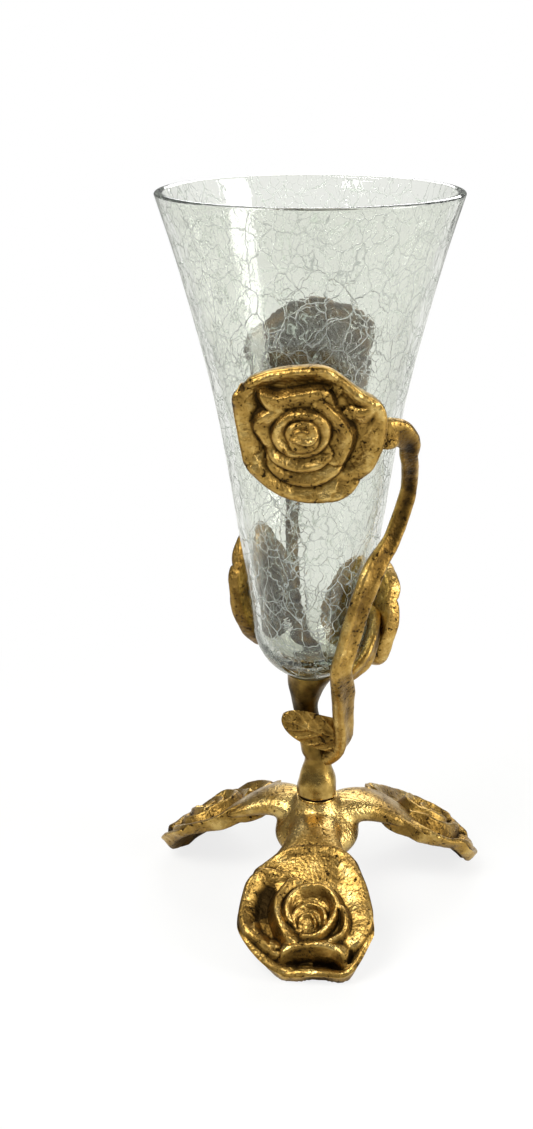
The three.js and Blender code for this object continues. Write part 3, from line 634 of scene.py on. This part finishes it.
def creases(height, radius):
    """Where tarnish and painted shade go: 1 deep under the neighbouring surface, less on steep walls, 0 on
    the lips.
    """
    even = height
    for _ in range(CREASE_ROUNDS):
        sideways = (np.roll(even, 1, axis=1) + np.roll(even, -1, axis=1)) / 2
        padded = np.concatenate([even[:1], even, even[-1:]])
        even = (even * 2 + sideways + (padded[:-2] + padded[2:]) / 2) / 4
    narrow = np.clip((even - height) / CREASE_DEPTH, 0, 1)
    wide = np.clip((LOW_LEVEL - height) / LOW_FADE, 0, LOW_SHADE_AND_TARNISH)
    step = radius * 2 * math.pi / BLOOM_COLUMNS
    around = (np.roll(height, -1, axis=1) - np.roll(height, 1, axis=1)) / (2 * step)
    outwards = np.gradient(height, axis=0) / np.gradient(radius, axis=0)
    walls = np.clip(np.hypot(around, outwards) - STEEP, 0, 1) * WALL_SHADE_AND_TARNISH
    return np.maximum(np.maximum(narrow, wide), walls)


def waver(points, size, amount):
    """Slow unevenness of a casting."""
    values = [noise.noise(Vector(point) / size) for point in points.reshape(-1, 3)]
    return np.array(values).reshape(points.shape[:-1]) * amount


def bloom_rings(petals, width, height, back, tuck):
    """Rings of a closed bloom, from the middle of its face over its rim to its back, with their tarnish and
    painted shade.
    """
    half = np.array([width, height]) / 2
    bearing = round_angles(BLOOM_COLUMNS)
    outline = bloom_outline(petals, bearing, half)
    radius = (np.arange(1, BLOOM_RINGS + 1) / BLOOM_RINGS)[:, None] * outline
    level = bloom_relief(petals, *across_bloom(radius, bearing, half), half)
    tarnish_and_shade = creases(level, radius * half.sum() / 2)
    # The rim rolls under to the back in a half round, then the back runs in nearly flat.
    edge = level[-1]
    thick = (edge + back) / 2
    even = np.ones(BLOOM_COLUMNS)
    under = []
    for angle in np.radians(np.arange(15, 181, 15)):
        down = 1 - math.cos(angle)
        rolled = outline + RIM_ROLL * math.sin(angle) - tuck * down
        under.append((rolled, edge - thick * down, even * BACK_TARNISH * down / 2))
    for inset in (0.75, 0.5, 0.25):
        darker = (BACK_MIDDLE_SHADE_AND_TARNISH - BACK_TARNISH) * smooth_step((0.75 - inset) / 0.5)
        dished = -back + BACK_DISH * (1 - inset)
        under.append((outline * inset, even * dished, even * (BACK_TARNISH + darker)))
    under_radius, under_level, under_tarnish_and_shade = zip(*under)
    radius = np.concatenate([radius, under_radius])
    level = np.concatenate([level, under_level])
    points = np.stack([radius * np.cos(bearing), radius * np.sin(bearing), level], axis=-1)
    return points, np.concatenate([tarnish_and_shade, under_tarnish_and_shade])


def laid_out(rings, width, height, turn, seed):
    """A bloom's rings in millimetres, turned in its plane and made a little uneven."""
    c, s = math.cos(math.radians(turn)), math.sin(math.radians(turn))
    x = (rings[..., 0] * c - rings[..., 1] * s) * width / 2
    y = (rings[..., 0] * s + rings[..., 1] * c) * height / 2
    points = np.stack([x, y, rings[..., 2]], axis=-1)
    for size, amount in CAST_WAVES:
        points[..., 2] += waver(points + seed, size, amount)
    return points


def placed(points, middle, across, upward, face):
    """Points of a flat bloom, carried to its place."""
    return middle + points[..., :1] * across + points[..., 1:2] * upward + points[..., 2:] * face


front = ROSES["front"]
rose_rings, rose_tarnish_and_shade = bloom_rings(BRANCH_PETALS, front["width"], front["height"], ROSE_BACK, ROSE_TUCK)
for side, rose in ROSES.items():
    points = laid_out(rose_rings, rose["width"], rose["height"], rose["turn"], rose["seed"])
    tarnish_and_shade = np.clip(rose_tarnish_and_shade + rose["painted_light_and_grime"], 0, 1)
    bloom = closed_skin(side + "_bloom", placed(points, *rose_axes(rose)), CAST, hollow=tarnish_and_shade)
    dress(bloom, "holder", "cast_brass", side + "_rose")


# Feet

FOOT_REACH = 35.2
FOOT_RISE = 13.9
FOOT_SLOPE = 23
FOOT_WIDTH = 37.4
FOOT_LENGTH = 37.2
FOOT_TIP_DROOP = 4.6
FOOT_TIP_DEPTH = 4.6
FOOT_ROOT_DEPTH = 4.2
FOOT_BACK = 1.8
FOOT_TUCK = 0.06
FOOT_ARM_RISE = 22
FOOT_ARM_KNEE = 13  # out from the screw's axis
FOOT_ARM_SINK = 1.0
# Each foot's third of the base, how far it was brazed off that, its turn in its plane, the lift of its inner
# end, the height of its arm's knee and an offset of its tarnish, minus for painted light on the side feet
FEET = {
    "front": dict(azimuth=0, off=0, turn=0, lift=3.0, knee=27, painted_light_and_grime=0, seed=5.0),
    "right": dict(azimuth=120, off=0, turn=2, lift=3.2, knee=29.8, painted_light_and_grime=-0.15, seed=17.0),
    "left": dict(azimuth=-120, off=-3, turn=16, lift=3.2, knee=30.4, painted_light_and_grime=-0.15, seed=29.0),
}
# Width and thickness of an arm from the hub out to the bloom
ARM_SECTIONS = [(12.5, 10), (14, 9), (17, 8), (25, 5), (16, 1.6)]
ARM_SIDES = 48
ARM_RINGS = 40
# Radius and height of the bell where the arms run into it
BELL = [(10, HUB_BOTTOM + 0.2), (12.2, HUB_BOTTOM + 3.5), (12.2, HUB_TOP - 10.5), (9.8, HUB_TOP - 7),
        (7.3, HUB_TOP - 3.6), (6, HUB_TOP - 1), (5.75, HUB_TOP + 2)]
BELL_RINGS = 30
BELL_EDGE = 0.5  # the turned seat's bright edge shows above the casting
# The bell is polished more than the arms, out to this radius, fading over this width
BELL_SHINE = 0.2
BELL_SHINE_END = 18
BELL_SHINE_FADE = 6
# What is bored out of the casting for the hub and its nut pocket
BORE = [(HUB_SKIRT, HUB_BOTTOM - 3), (HUB_SKIRT, HUB_SKIRT_TOP), (HUB_NECK, HUB_NECK_FOOT),
        (HUB_NECK, HUB_TOP + 3)]
CAST_GRAIN = 0.5  # mesh size of the fused casting
CAST_EASE = 50  # rounds of smoothing that fill its inner corners
CAST_CORNER = 60  # degrees from which an edge stays sharp


def foot_axes(foot):
    """Middle, sideways, inward and facing directions of a foot's bloom."""
    outward, sideways = bearings(foot["azimuth"] + foot["off"])
    down, face = tilted(outward, math.radians(FOOT_SLOPE))
    return outward * FOOT_REACH + [0, 0, FOOT_RISE], sideways, -down, face


def arm_blank(foot):
    """An arm before casting, from inside the bell over its knee to under the bloom."""
    middle, sideways, _, face = foot_axes(foot)
    start = np.array([0, 0, FOOT_ARM_RISE])
    knee = bearings(foot["azimuth"] + foot["off"])[0] * FOOT_ARM_KNEE + [0, 0, foot["knee"]]
    end = middle - face * FOOT_ARM_SINK
    along = np.linspace(0, 1, ARM_RINGS)[:, None, None]
    half = spline(ARM_SECTIONS, along[:, 0, 0])[:, None, :] / 2
    angle = round_angles(ARM_SIDES)[None, :, None]
    skin = bow(start, knee, end, along) + half[..., :1] * np.cos(angle) * sideways
    skin = skin + half[..., 1:] * np.sin(angle) * face
    return closed_skin("arm_blank", skin, CAST, turn=0)


def round_blank(name, profile):
    """A solid turned about the screw's axis from points of radius and height."""
    radius, height = np.asarray(profile, float).T[..., None]
    return closed_skin(name, round_rings(radius, height, ARM_SIDES), CAST, turn=0)


def tripod():
    """The bell and the three arms as one smooth casting, its inner corners filled, bored for the hub."""
    cast = bmesh.new()
    bell = round_blank("bell_blank", spline(BELL, np.linspace(0, 1, BELL_RINGS)))
    for blank in [bell, *(arm_blank(foot) for foot in FEET.values())]:
        cast.from_mesh(blank.data)
        bpy.data.objects.remove(blank)
    mesh = bpy.data.meshes.new("tripod")
    cast.to_mesh(mesh)
    cast.free()
    made = as_object("tripod", mesh, CAST)
    skin = made.modifiers.new("one_skin", "REMESH")
    skin.mode = "VOXEL"
    skin.voxel_size = CAST_GRAIN * MM
    ease = made.modifiers.new("eased", "SMOOTH")
    ease.factor = 0.5
    ease.iterations = CAST_EASE
    bore = made.modifiers.new("bored", "BOOLEAN")
    bore.operation = "DIFFERENCE"
    bore.object = round_blank("bore_blank", BORE)
    smooth = finished_mesh(made)
    bpy.data.objects.remove(bore.object)
    bpy.data.objects.remove(made)
    return smooth


def third(name, casting, azimuth):
    """One arm of the tripod, cut from it midway to its neighbours and closed."""
    part = bmesh.new()
    part.from_mesh(casting)
    cuts = [(SCREW_AXIS, Vector(bearings(azimuth + side)[1]) * math.copysign(1, side)) for side in (-60, 60)]
    cuts.append((Vector((0, 0, (HUB_TOP - BELL_EDGE) * MM)), Vector((0, 0, 1))))
    for place, outwards in cuts:
        bmesh.ops.bisect_plane(part, geom=[*part.verts, *part.edges, *part.faces], plane_co=place,
                               plane_no=outwards, clear_outer=True)
        bmesh.ops.holes_fill(part, edges=[edge for edge in part.edges if edge.is_boundary])
    mesh = bpy.data.meshes.new(name)
    part.to_mesh(mesh)
    part.free()
    mesh.shade_smooth()
    mesh.set_sharp_from_angle(angle=math.radians(CAST_CORNER))
    reach = np.array([(v.co.xy - SCREW_AXIS.xy).length for v in mesh.vertices]) / MM
    mark(mesh, "hollow", -BELL_SHINE * smooth_step((BELL_SHINE_END - reach) / BELL_SHINE_FADE))
    return as_object(name, mesh, CAST)


def foot_bloom(name, foot):
    """A foot's bloom, bent down at its tip, lifted at its root, thick where it stands, flat on the table."""
    points = laid_out(foot_rings, FOOT_WIDTH, FOOT_LENGTH, foot["turn"], foot["seed"])
    share = points[..., 1] / (FOOT_LENGTH / 2)
    back = smooth_step(-points[..., 2] / FOOT_BACK)
    depth = np.where(share < 0, FOOT_TIP_DEPTH, FOOT_ROOT_DEPTH) * share ** 2
    droop = np.where(share < 0, FOOT_TIP_DROOP, -foot["lift"]) * share ** 2
    points[..., 2] -= droop + back * depth
    head = placed(points, *foot_axes(foot))
    head[..., 2] = np.maximum(head[..., 2], 0)
    return closed_skin(name, head, CAST, turn=0, hollow=np.clip(foot_tarnish_and_shade + foot["painted_light_and_grime"], 0, 1))


foot_rings, foot_tarnish_and_shade = bloom_rings(FOOT_PETALS, FOOT_WIDTH, FOOT_LENGTH, FOOT_BACK, FOOT_TUCK)
casting = tripod()
for side, foot in FEET.items():
    bloom = foot_bloom(side + "_foot", foot)
    arm = third(side + "_foot_arm", casting, foot["azimuth"])
    dress(bloom, "base", "cast_brass", "foot_rose_" + side)
    dress(arm, "base", "cast_brass", "foot_rose_" + side)


# Glass, turned about its own axis by a Geometry Nodes tree

TURNING_CORE = 0.001  # radius of the circle that a profile is swept round
TURNING_WELD = 0.01  # points closer than this are one


def arc(middle, size, start, end, count):
    """Points on a part of an ellipse, between two angles in degrees."""
    angle = np.radians(np.linspace(start, end, count))
    return middle + np.stack([np.cos(angle), np.sin(angle)], axis=-1) * size


def glass_profile():
    """Radius and height round the wall, from the middle of the outside end to the middle of the floor."""
    flare = GLASS_LINE[1:-1]
    wide, half = GLASS_FLARE[0][0], GLASS_WALL / 2
    end = arc((0, GLASS_END_DEPTH), (wide, GLASS_END_DEPTH), -90, 0, 24)
    rim = arc(flare[-1] - [half, 0], (half, GLASS_RIM_RISE), 0, 180, 20)
    floor = arc((0, GLASS_END_DEPTH), (wide - GLASS_WALL, GLASS_END_DEPTH - GLASS_FLOOR), 0, -90, 20)
    outside = np.concatenate([end, flare])
    return np.concatenate([outside, rim, flare[::-1] - [GLASS_WALL, 0], floor]), len(outside)


def turned_tree():
    """Sweeps a profile line round a small circle about Z, moved to an axis."""
    tree, add, given = new_tree("turned_about_z", {"Segments": "NodeSocketInt", "Axis": "NodeSocketVector"})
    profile = add("GeometryNodeMeshToCurve", {"Mesh": given["Geometry"]})
    circle = add("GeometryNodeCurvePrimitiveCircle",
                 {"Resolution": given["Segments"], "Radius": TURNING_CORE * MM})
    swept = add("GeometryNodeCurveToMesh", {"Curve": circle, "Profile Curve": profile})
    joined = add("GeometryNodeMergeByDistance", {"Geometry": swept, "Distance": TURNING_WELD * MM})
    moved = add("GeometryNodeSetPosition", {"Geometry": joined, "Offset": given["Axis"]})
    end_tree(add, moved, given["Material"])
    return tree


def line_mesh(name, points):
    mesh = bpy.data.meshes.new(name)
    mesh.from_pydata([tuple(p) for p in points], [(i, i + 1) for i in range(len(points) - 1)], [])
    return mesh


TURNING = turned_tree()


def turned(name, profile, axis, segments, material, **marks):
    """A turning; marks are numbers per point of its profile."""
    source = line_mesh(name + "_profile", [(r * MM, -up * MM, 0) for r, up in profile])
    for label, values in marks.items():
        mark(source, label, values)
    return grown(name, source, TURNING, {"Segments": segments, "Axis": axis}, material)


glass_axis = to_frame([GLASS_OFFSET, 0, GLASS_END])
wall, outside_points = glass_profile()
outside = np.arange(len(wall)) < outside_points
thick = smooth_step(1 - wall[:, 1] / (1.5 * GLASS_END_DEPTH))
trumpet = turned("glass_trumpet", wall, tuple(glass_axis), GLASS_SEGMENTS, GLASS,
                 outside=outside, thick=thick)
dress(trumpet, "glass", "crackle_glass", "glass_vase")


# Branches, cast strands swept along their routes by a Geometry Nodes tree

STRAND_SAMPLES = 90
STRAND_POINTS = 40
STRAND_FLATNESS = 0.78  # thickness as a share of the width
GROOVE = 0.5  # depth of the groove as a share of the half thickness
KNOT_HEIGHT = 0.7
KNOT_LENGTH = 5
# Tarnish and painted shade in the groove, and what the upper part has more, from where it starts to where it
# ends
GROOVE_SHADE_AND_TARNISH = 0.2
UPPER_SHADE_AND_TARNISH = 0.45
UPPER_START, UPPER_START_FADE = 0.35, 0.2
UPPER_END, UPPER_END_FADE = 0.95, 0.15
TO_FRONT = 0.95  # how far the front branch's groove turns to the front
# painted shade and grime on the back strand, which is seen through the glass
BACK_PAINTED_SHADE_AND_GRIME = 0.5

# Right of the axis, in front of it, above the neck, and width
HEEL = [(-0.8, 0, 0.6, 5.4), (4.2, 1.5, 1.6, 6.8), (7.5, 4.6, 7.6, 7.2), (7.4, 7, 17.2, 7.4),
        (7.2, 10, 24.6, 7.6)]
# Azimuth, height above the glass's end, clearance from the glass, and width
FRONT_ROUTE = [(28, 8, 1.7, 6.4), (33, 15, 0, 6.4), (41, 25.3, 0, 6.4), (53, 36, 0, 6.4), (71, 43, 0.8, 5),
               (77, 53, 2.4, 4.7), (72, 60, 2.8, 4.6), (61, 66, 3.9, 4.6), (55, 69.6, 4.6, 5)]
SHOOT_ROUTE = [(45, 1, 3.7, 5.4), (56, 7.5, 2, 5.4), (72, 12.5, 0.8, 5.2)]
BACK_ROUTE = [(176, 1.5, 1, 6.4), (-170, 5, 0, 6.4), (-164, 11, 0, 6.4), (-163, 22.6, 0, 4.4),
              (-164.5, 34, 0, 4.4), (-166, 47, 0, 4.4)]
BRANCH_THICKNESS = 5
SHOOT_THICKNESS = 3.8
# Shares of the bloom's half width and half height, millimetres out of its face, and width
FRONT_CALYX = [(1.34, -0.28, -6.2, 5.8), (1.2, -0.07, -3.4, 7.2), (1.0, -0.02, -1.2, 8.2), (0.8, 0, -2.4, 7)]
SHOOT_CALYX = [(-0.6, 0, -2.2, 5), (-0.35, 0.1, -1.2, 4.4)]
BACK_CALYX = [(0.25, -1, -0.4, 6.4), (0.2, -0.8, 0, 6.4)]


def strand_tree():
    """Sweeps a grooved section along a line, its face turned by the line's own attribute, and roughens it."""
    tree, add, given = new_tree("cast_strand", {"Section": "NodeSocketObject", "Knots": "NodeSocketFloat",
                                                "Knot Size": "NodeSocketFloat", "Painted Light And Grime": "NodeSocketFloat"})
    line = add("GeometryNodeMeshToCurve", {"Mesh": given["Geometry"]})
    face = add("GeometryNodeInputNamedAttribute", {"Name": "face"}, data_type="FLOAT_VECTOR")
    facing = add("GeometryNodeSetCurveNormal", {"Curve": line, "Normal": face}, mode="FREE")
    section = add("GeometryNodeObjectInfo", {"Object": given["Section"]})
    outline = add("GeometryNodeMeshToCurve", {"Mesh": section.outputs["Geometry"]})
    width, groove, shade = (add("GeometryNodeInputNamedAttribute", {"Name": name}, data_type="FLOAT")
                            for name in ("width", "groove", "shade"))
    swept = add("GeometryNodeCurveToMesh",
                {"Curve": facing, "Profile Curve": outline, "Scale": width, "Fill Caps": True})
    tarnish_and_shade = add("ShaderNodeMath", {0: groove, 1: shade, 2: given["Painted Light And Grime"]}, operation="MULTIPLY_ADD")
    marked = add("GeometryNodeStoreNamedAttribute",
                 {"Geometry": swept, "Name": "hollow", "Value": tarnish_and_shade}, data_type="FLOAT", domain="POINT")
    rough = add("ShaderNodeTexNoise", {"Scale": given["Knot Size"], "Detail": 4.0})
    centred = add("ShaderNodeMath", {0: rough, 1: 0.5}, operation="SUBTRACT")
    amount = add("ShaderNodeMath", {0: centred, 1: given["Knots"]}, operation="MULTIPLY")
    push = add("ShaderNodeVectorMath", {0: add("GeometryNodeInputNormal"), "Scale": amount},
               operation="SCALE")
    knotted = add("GeometryNodeSetPosition", {"Geometry": marked, "Offset": push})
    end_tree(add, knotted, given["Material"])
    return tree


def strand_section():
    """The grooved outline of a strand one unit wide. Its X is laid along the way the strand faces."""
    angle = round_angles(STRAND_POINTS)
    depth = np.maximum(np.sin(angle), 0) ** 3
    across = np.cos(angle) / 2
    out = np.sin(angle) / 2 * STRAND_FLATNESS * (1 - GROOVE * depth)
    mesh = bpy.data.meshes.new("strand_section")
    ring = [(i, (i + 1) % STRAND_POINTS) for i in range(STRAND_POINTS)]
    mesh.from_pydata(np.stack([out, across, np.zeros(STRAND_POINTS)], axis=-1).tolist(), ring, [])
    mark(mesh, "groove", depth)
    return linked("strand_section", mesh)


def unit(vectors):
    return vectors / np.linalg.norm(vectors, axis=1)[:, None]


def strand(name, node, stations, to_front=0.0, painted_light_and_grime=0.0):
    """A branch through stations of place and width, its groove turned from the glass, then to the front."""
    share = np.linspace(0, 1, STRAND_SAMPLES)
    places = spline([place for place, _ in stations], share)
    widths = spline([[width] for _, width in stations], share)[:, 0]
    upper = smooth_step((share - UPPER_START) / UPPER_START_FADE)
    shade = GROOVE_SHADE_AND_TARNISH + UPPER_SHADE_AND_TARNISH * upper * smooth_step((UPPER_END - share) / UPPER_END_FADE)
    tangent = unit(np.gradient(places, axis=0))
    away = unit((places - [GLASS_OFFSET, 0, 0]) * [1, 1, 0])
    away += (bearings(0)[0] - away) * to_front * upper[:, None]
    facing = unit(away - tangent * np.sum(away * tangent, axis=1)[:, None])
    facing = (to_frame(facing) - to_frame(np.zeros(3))) / MM
    source = line_mesh(name + "_route", to_frame(places))
    source.attributes.new("face", "FLOAT_VECTOR", "POINT").data.foreach_set("vector", facing.ravel())
    mark(source, "width", widths * MM)
    mark(source, "shade", shade)
    values = {"Section": section, "Knots": KNOT_HEIGHT * MM, "Knot Size": per(KNOT_LENGTH), "Painted Light And Grime": painted_light_and_grime}
    dress(grown(name, source, STRAND, values, CAST), "holder", "cast_brass", node)


def along_glass(route, thickness):
    return [(beside_glass(azimuth, up, clear + thickness / 2 + FIT_GAP), width)
            for azimuth, up, clear, width in route]


def into_rose(rose, calyx):
    return [(on_rose(rose, across, upward, out), width) for across, upward, out, width in calyx]


STRAND = strand_tree()
section = strand_section()

stations = [(np.array([right, -ahead, NECK + above]), width) for right, ahead, above, width in HEEL]
stations += along_glass(FRONT_ROUTE, BRANCH_THICKNESS) + into_rose(ROSES["front"], FRONT_CALYX)
strand("front_strand", "front_branch", stations, to_front=TO_FRONT)

stations = along_glass(SHOOT_ROUTE, SHOOT_THICKNESS) + into_rose(ROSES["right"], SHOOT_CALYX)
strand("right_strand", "right_shoot", stations)

stations = [(np.array([1.6 * GLASS_OFFSET, 1.2, GLASS_END - 8]), 5.2)]  # inside the stem
stations += along_glass(BACK_ROUTE, BRANCH_THICKNESS) + into_rose(ROSES["back"], BACK_CALYX)
strand("back_strand", "back_branch", stations, painted_light_and_grime=BACK_PAINTED_SHADE_AND_GRIME)
bpy.data.objects.remove(section)


# Stem, a bulb and a neck that leans into the cup under the glass

STEM_SECTIONS = [  # height, radius and share of the lean
    (STEM_FOOT, 5.2, 0), (STEM_FOOT + 0.3, 5.65, 0), (STEM_FOOT + 3, 5.65, 0), (STEM_FOOT + 5, 5.25, 0),
    (NECK - 3, 4.3, 0), (NECK, 3.75, 0), (NECK + 3, 3.75, 0.5), (GLASS_END - 11.2, 3.4, 1.5),
    (GLASS_END - 5.6, 4.5, 1.7), (GLASS_END - 0.4, 6.2, 1), (GLASS_END + 0.9, 6.5, 1),
]
CUP_INSIDE = [(GLASS_END + 0.7, 5.6, 1), (GLASS_END - 0.2, 3.0, 1)]
STEM_RINGS = 120
STEM_SIDES = 64
STEM_WAVE, STEM_UNEVEN = 5.0, 0.5  # length and height
# darker up the neck and into the cup under the glass: painted shade with tarnish
STEM_SHADE_AND_TARNISH = [(NECK - 4, 0), (NECK + 2, 0.35), (GLASS_END - 8, 0.7), (GLASS_END, 0.5)]  # at heights


def stem():
    outside = spline(STEM_SECTIONS, np.linspace(0, 1, STEM_RINGS))
    height, radius, lean = np.concatenate([outside, CUP_INSIDE]).T[..., None]
    points = round_rings(radius, height, STEM_SIDES)
    points[..., 0] += lean * GLASS_OFFSET
    points[..., 0] += waver(points, STEM_WAVE, STEM_UNEVEN)
    points[..., 1] += waver(points + 40.0, STEM_WAVE, STEM_UNEVEN)
    tarnish_and_shade = np.interp(points[..., 2], *zip(*STEM_SHADE_AND_TARNISH))
    made = closed_skin("stem_turning", points, TURNED, hollow=tarnish_and_shade)
    dress(made, "holder", "turned_brass", "stem")


stem()


# Leaf

LEAF_ROOT = np.array([6.2, -6.2, HUB_TOP + 21.6])
LEAF_LENGTH = 17.2
LEAF_WIDTH = 10.6
LEAF_THICKNESS = 1.8
LEAF_LEAN = 23
LEAF_SAG = 1.3
LEAF_TIP = 0.995  # how far the blade narrows
LEAF_DISH = 0.35  # share by which the front is flatter than the back
LEAF_VEINS = 4
VEIN_SWEEP = 1.6  # how many veins one leans past from rib to edge
VEIN_WIDTH = 0.45
LEAF_FURROW = 0.7
LEAF_RIB = 0.35
LEAF_RIB_WIDTH = 0.07
# darker in the vein furrows: painted shade with tarnish
LEAF_SHADE_AND_TARNISH = 0.3


def leaf():
    lean = math.radians(LEAF_LEAN)
    tip = LEAF_ROOT + np.array([-math.cos(lean), 0, math.sin(lean)]) * LEAF_LENGTH
    middle = (LEAF_ROOT + tip) / 2 - LEAF_SAG
    along = np.linspace(0, 1, 90)[:, None]
    rib = bow(LEAF_ROOT, middle, tip, along)
    ahead = np.array([0, -1.0, 0])
    across = unit(np.cross(np.gradient(rib, axis=0), ahead))
    half = LEAF_WIDTH / 2 * np.sqrt(1 - LEAF_TIP * along ** 3)
    angle = round_angles(72)[None, :]
    side = np.cos(angle)
    front_face = np.maximum(np.sin(angle), 0)
    swell = LEAF_THICKNESS / 2 * np.sin(angle) * (1 - LEAF_DISH * front_face)
    vein = np.abs(np.sin(math.pi * (LEAF_VEINS * along - VEIN_SWEEP * np.abs(side))))
    furrow = (1 - np.exp(-((vein / VEIN_WIDTH) ** 2))) * front_face ** 0.5 * np.abs(side) ** 0.3
    rib_line = LEAF_RIB * np.exp(-((side / LEAF_RIB_WIDTH) ** 2)) * front_face
    out = swell - LEAF_FURROW * furrow + rib_line
    points = rib[:, None, :] + (half * side)[..., None] * across[:, None, :] + out[..., None] * ahead
    made = closed_skin("veined_leaf", points, CAST, hollow=LEAF_SHADE_AND_TARNISH * furrow)
    dress(made, "holder", "cast_brass", "stem_leaf")


leaf()


# Hub, turned at its top, its skirt inside the casting of the feet

HUB_PROFILE = [  # radius and height
    (STUD_BORE, HUB_TOP), (5.4, HUB_TOP), (5.6, HUB_TOP - 0.1), (5.65, HUB_TOP - 0.25),
    (5.6, HUB_TOP - BELL_EDGE), (HUB_NECK, HUB_TOP - 1.2), (HUB_NECK, HUB_NECK_FOOT),
    (HUB_SKIRT, HUB_SKIRT_TOP), (HUB_SKIRT, HUB_BOTTOM), (NUT_POCKET, HUB_BOTTOM),
    (NUT_POCKET, HUB_SKIRT_TOP), (STUD_BORE, HUB_SKIRT_TOP), (STUD_BORE, HUB_TOP),
]
HUB_SEGMENTS = 96

hub = turned("hub_bell", HUB_PROFILE, (SCREW_AXIS.x, SCREW_AXIS.y, 0), HUB_SEGMENTS, TURNED)
dress(hub, "base", "turned_brass", "base_hub")


# Stud with its thread

THREAD_PITCH = 0.8
THREAD_DEPTH = 0.45
THREAD_STEPS = 8  # rings per turn
THREAD_SIDES = 32


def stud():
    radius = (stud_high.x - stud_low.x) / 2 / MM
    up = np.arange(stud_low.z / MM, stud_high.z / MM, THREAD_PITCH / THREAD_STEPS)[:, None]
    angle = round_angles(THREAD_SIDES)
    turn = (up / THREAD_PITCH - angle / (2 * math.pi)) % 1
    out = radius - THREAD_DEPTH * np.abs(2 * turn - 1)
    thread = closed_skin("cut_thread", round_rings(out, up, THREAD_SIDES), STEEL, turn=0)
    dress(thread, "base", "plated_steel", "threaded_stud")


stud()


# Fixings that keep their CAD shape

for node, material in [("lock_washer", STEEL), ("hex_nut", STEEL), ("seam_washer", RUBBER)]:
    fixing = frame["nodes"][node]
    fixing.data.materials.clear()
    fixing.data.materials.append(material)


# Studio, in metres

TABLE_HALF = 4.0
# The table shows its shadow near the object and fades to plain white
SHADOW_NEAR, SHADOW_FAR = 0.06, 0.22
SHADOW_WHITE = 0.8  # share of plain white near the object
ROOM_LIGHT = 0.22
LIT_POINT = Vector((0, 0, 0.1))
SOFTBOXES = {
    "key_softbox": dict(place=(-0.4, -0.4, 0.8), size=(0.5, 0.5), power=10.5),
    "side_softbox": dict(place=(0.7, -0.2, 0.35), size=(0.3, 0.6), power=6),
    "back_softbox": dict(place=(0.1, 0.8, 0.6), size=(0.8, 0.4), power=6),
}


def seen_by_eye(add):
    """1 for what the camera sees, straight or through glass."""
    path = add("ShaderNodeLightPath").outputs
    return add("ShaderNodeMath", {0: path["Is Camera Ray"], 1: path["Is Transmission Ray"]},
               operation="MAXIMUM")


def floor():
    made, add, where, shader = new_material("white_table")
    feed(shader, {"Base Color": colour("#d2d2cd"), "Roughness": 0.6})
    glow = add("ShaderNodeEmission", {"Color": colour("#ffffff"), "Strength": 1.0})
    away = add("ShaderNodeVectorMath", {0: where}, operation="LENGTH").outputs["Value"]
    even = add("ShaderNodeMapRange", {"Value": away, "From Min": SHADOW_NEAR, "From Max": SHADOW_FAR,
                                            "To Min": SHADOW_WHITE, "To Max": 1.0})
    share = add("ShaderNodeMath", {0: seen_by_eye(add), 1: even}, operation="MULTIPLY")
    mixed = add("ShaderNodeMixShader", {0: share, 1: shader, 2: glow})
    feed(made.node_tree.nodes["Material Output"], {"Surface": mixed})
    mesh = bpy.data.meshes.new("table_top")
    corners = [(-1, -1), (1, -1), (1, 1), (-1, 1)]
    mesh.from_pydata([(x * TABLE_HALF, y * TABLE_HALF, 0) for x, y in corners], [], [(0, 1, 2, 3)])
    table = as_object("table_top", mesh, made)


def world():
    """White to the eye and through glass, a grey room to everything else."""
    made = bpy.data.worlds.new("studio")
    bpy.context.scene.world = made
    made.use_nodes = True
    made.node_tree.nodes.clear()
    add = adder(made.node_tree)
    white = add("ShaderNodeBackground", {"Color": colour("#ffffff"), "Strength": 1.0})
    room = add("ShaderNodeBackground", {"Color": colour("#ffffff"), "Strength": ROOM_LIGHT})
    mixed = add("ShaderNodeMixShader", {0: seen_by_eye(add), 1: room, 2: white})
    add("ShaderNodeOutputWorld", {"Surface": mixed})


def softbox(name, place, size, power):
    lamp = bpy.data.lights.new(name, "AREA")
    lamp.shape = "RECTANGLE"
    lamp.size, lamp.size_y = size
    lamp.energy = power
    made = linked(name, lamp)
    made.location = place
    made.rotation_euler = (LIT_POINT - Vector(place)).to_track_quat("-Z", "Y").to_euler()


def camera():
    data = bpy.data.cameras.new("photo_camera")
    data.sensor_width = SENSOR
    data.lens = FOCAL_PIXELS * SENSOR / PHOTO_HEIGHT
    data.shift_x = (PHOTO_WIDTH / 2 - MIDDLE_PIXEL) / PHOTO_HEIGHT
    data.clip_start, data.clip_end = 0.01, 50
    made = linked("photo_camera", data)
    made.location = to_frame([CAMERA_RIGHT, -CAMERA_BACK, CAMERA_UP])
    made.rotation_euler = (math.radians(90 - CAMERA_PITCH), 0, math.radians(HOLDER_TURN))
    bpy.context.scene.camera = made


floor()
world()
for name, box in SOFTBOXES.items():
    softbox(name, **box)
camera()
bpy.context.scene.view_settings.view_transform = "Standard"
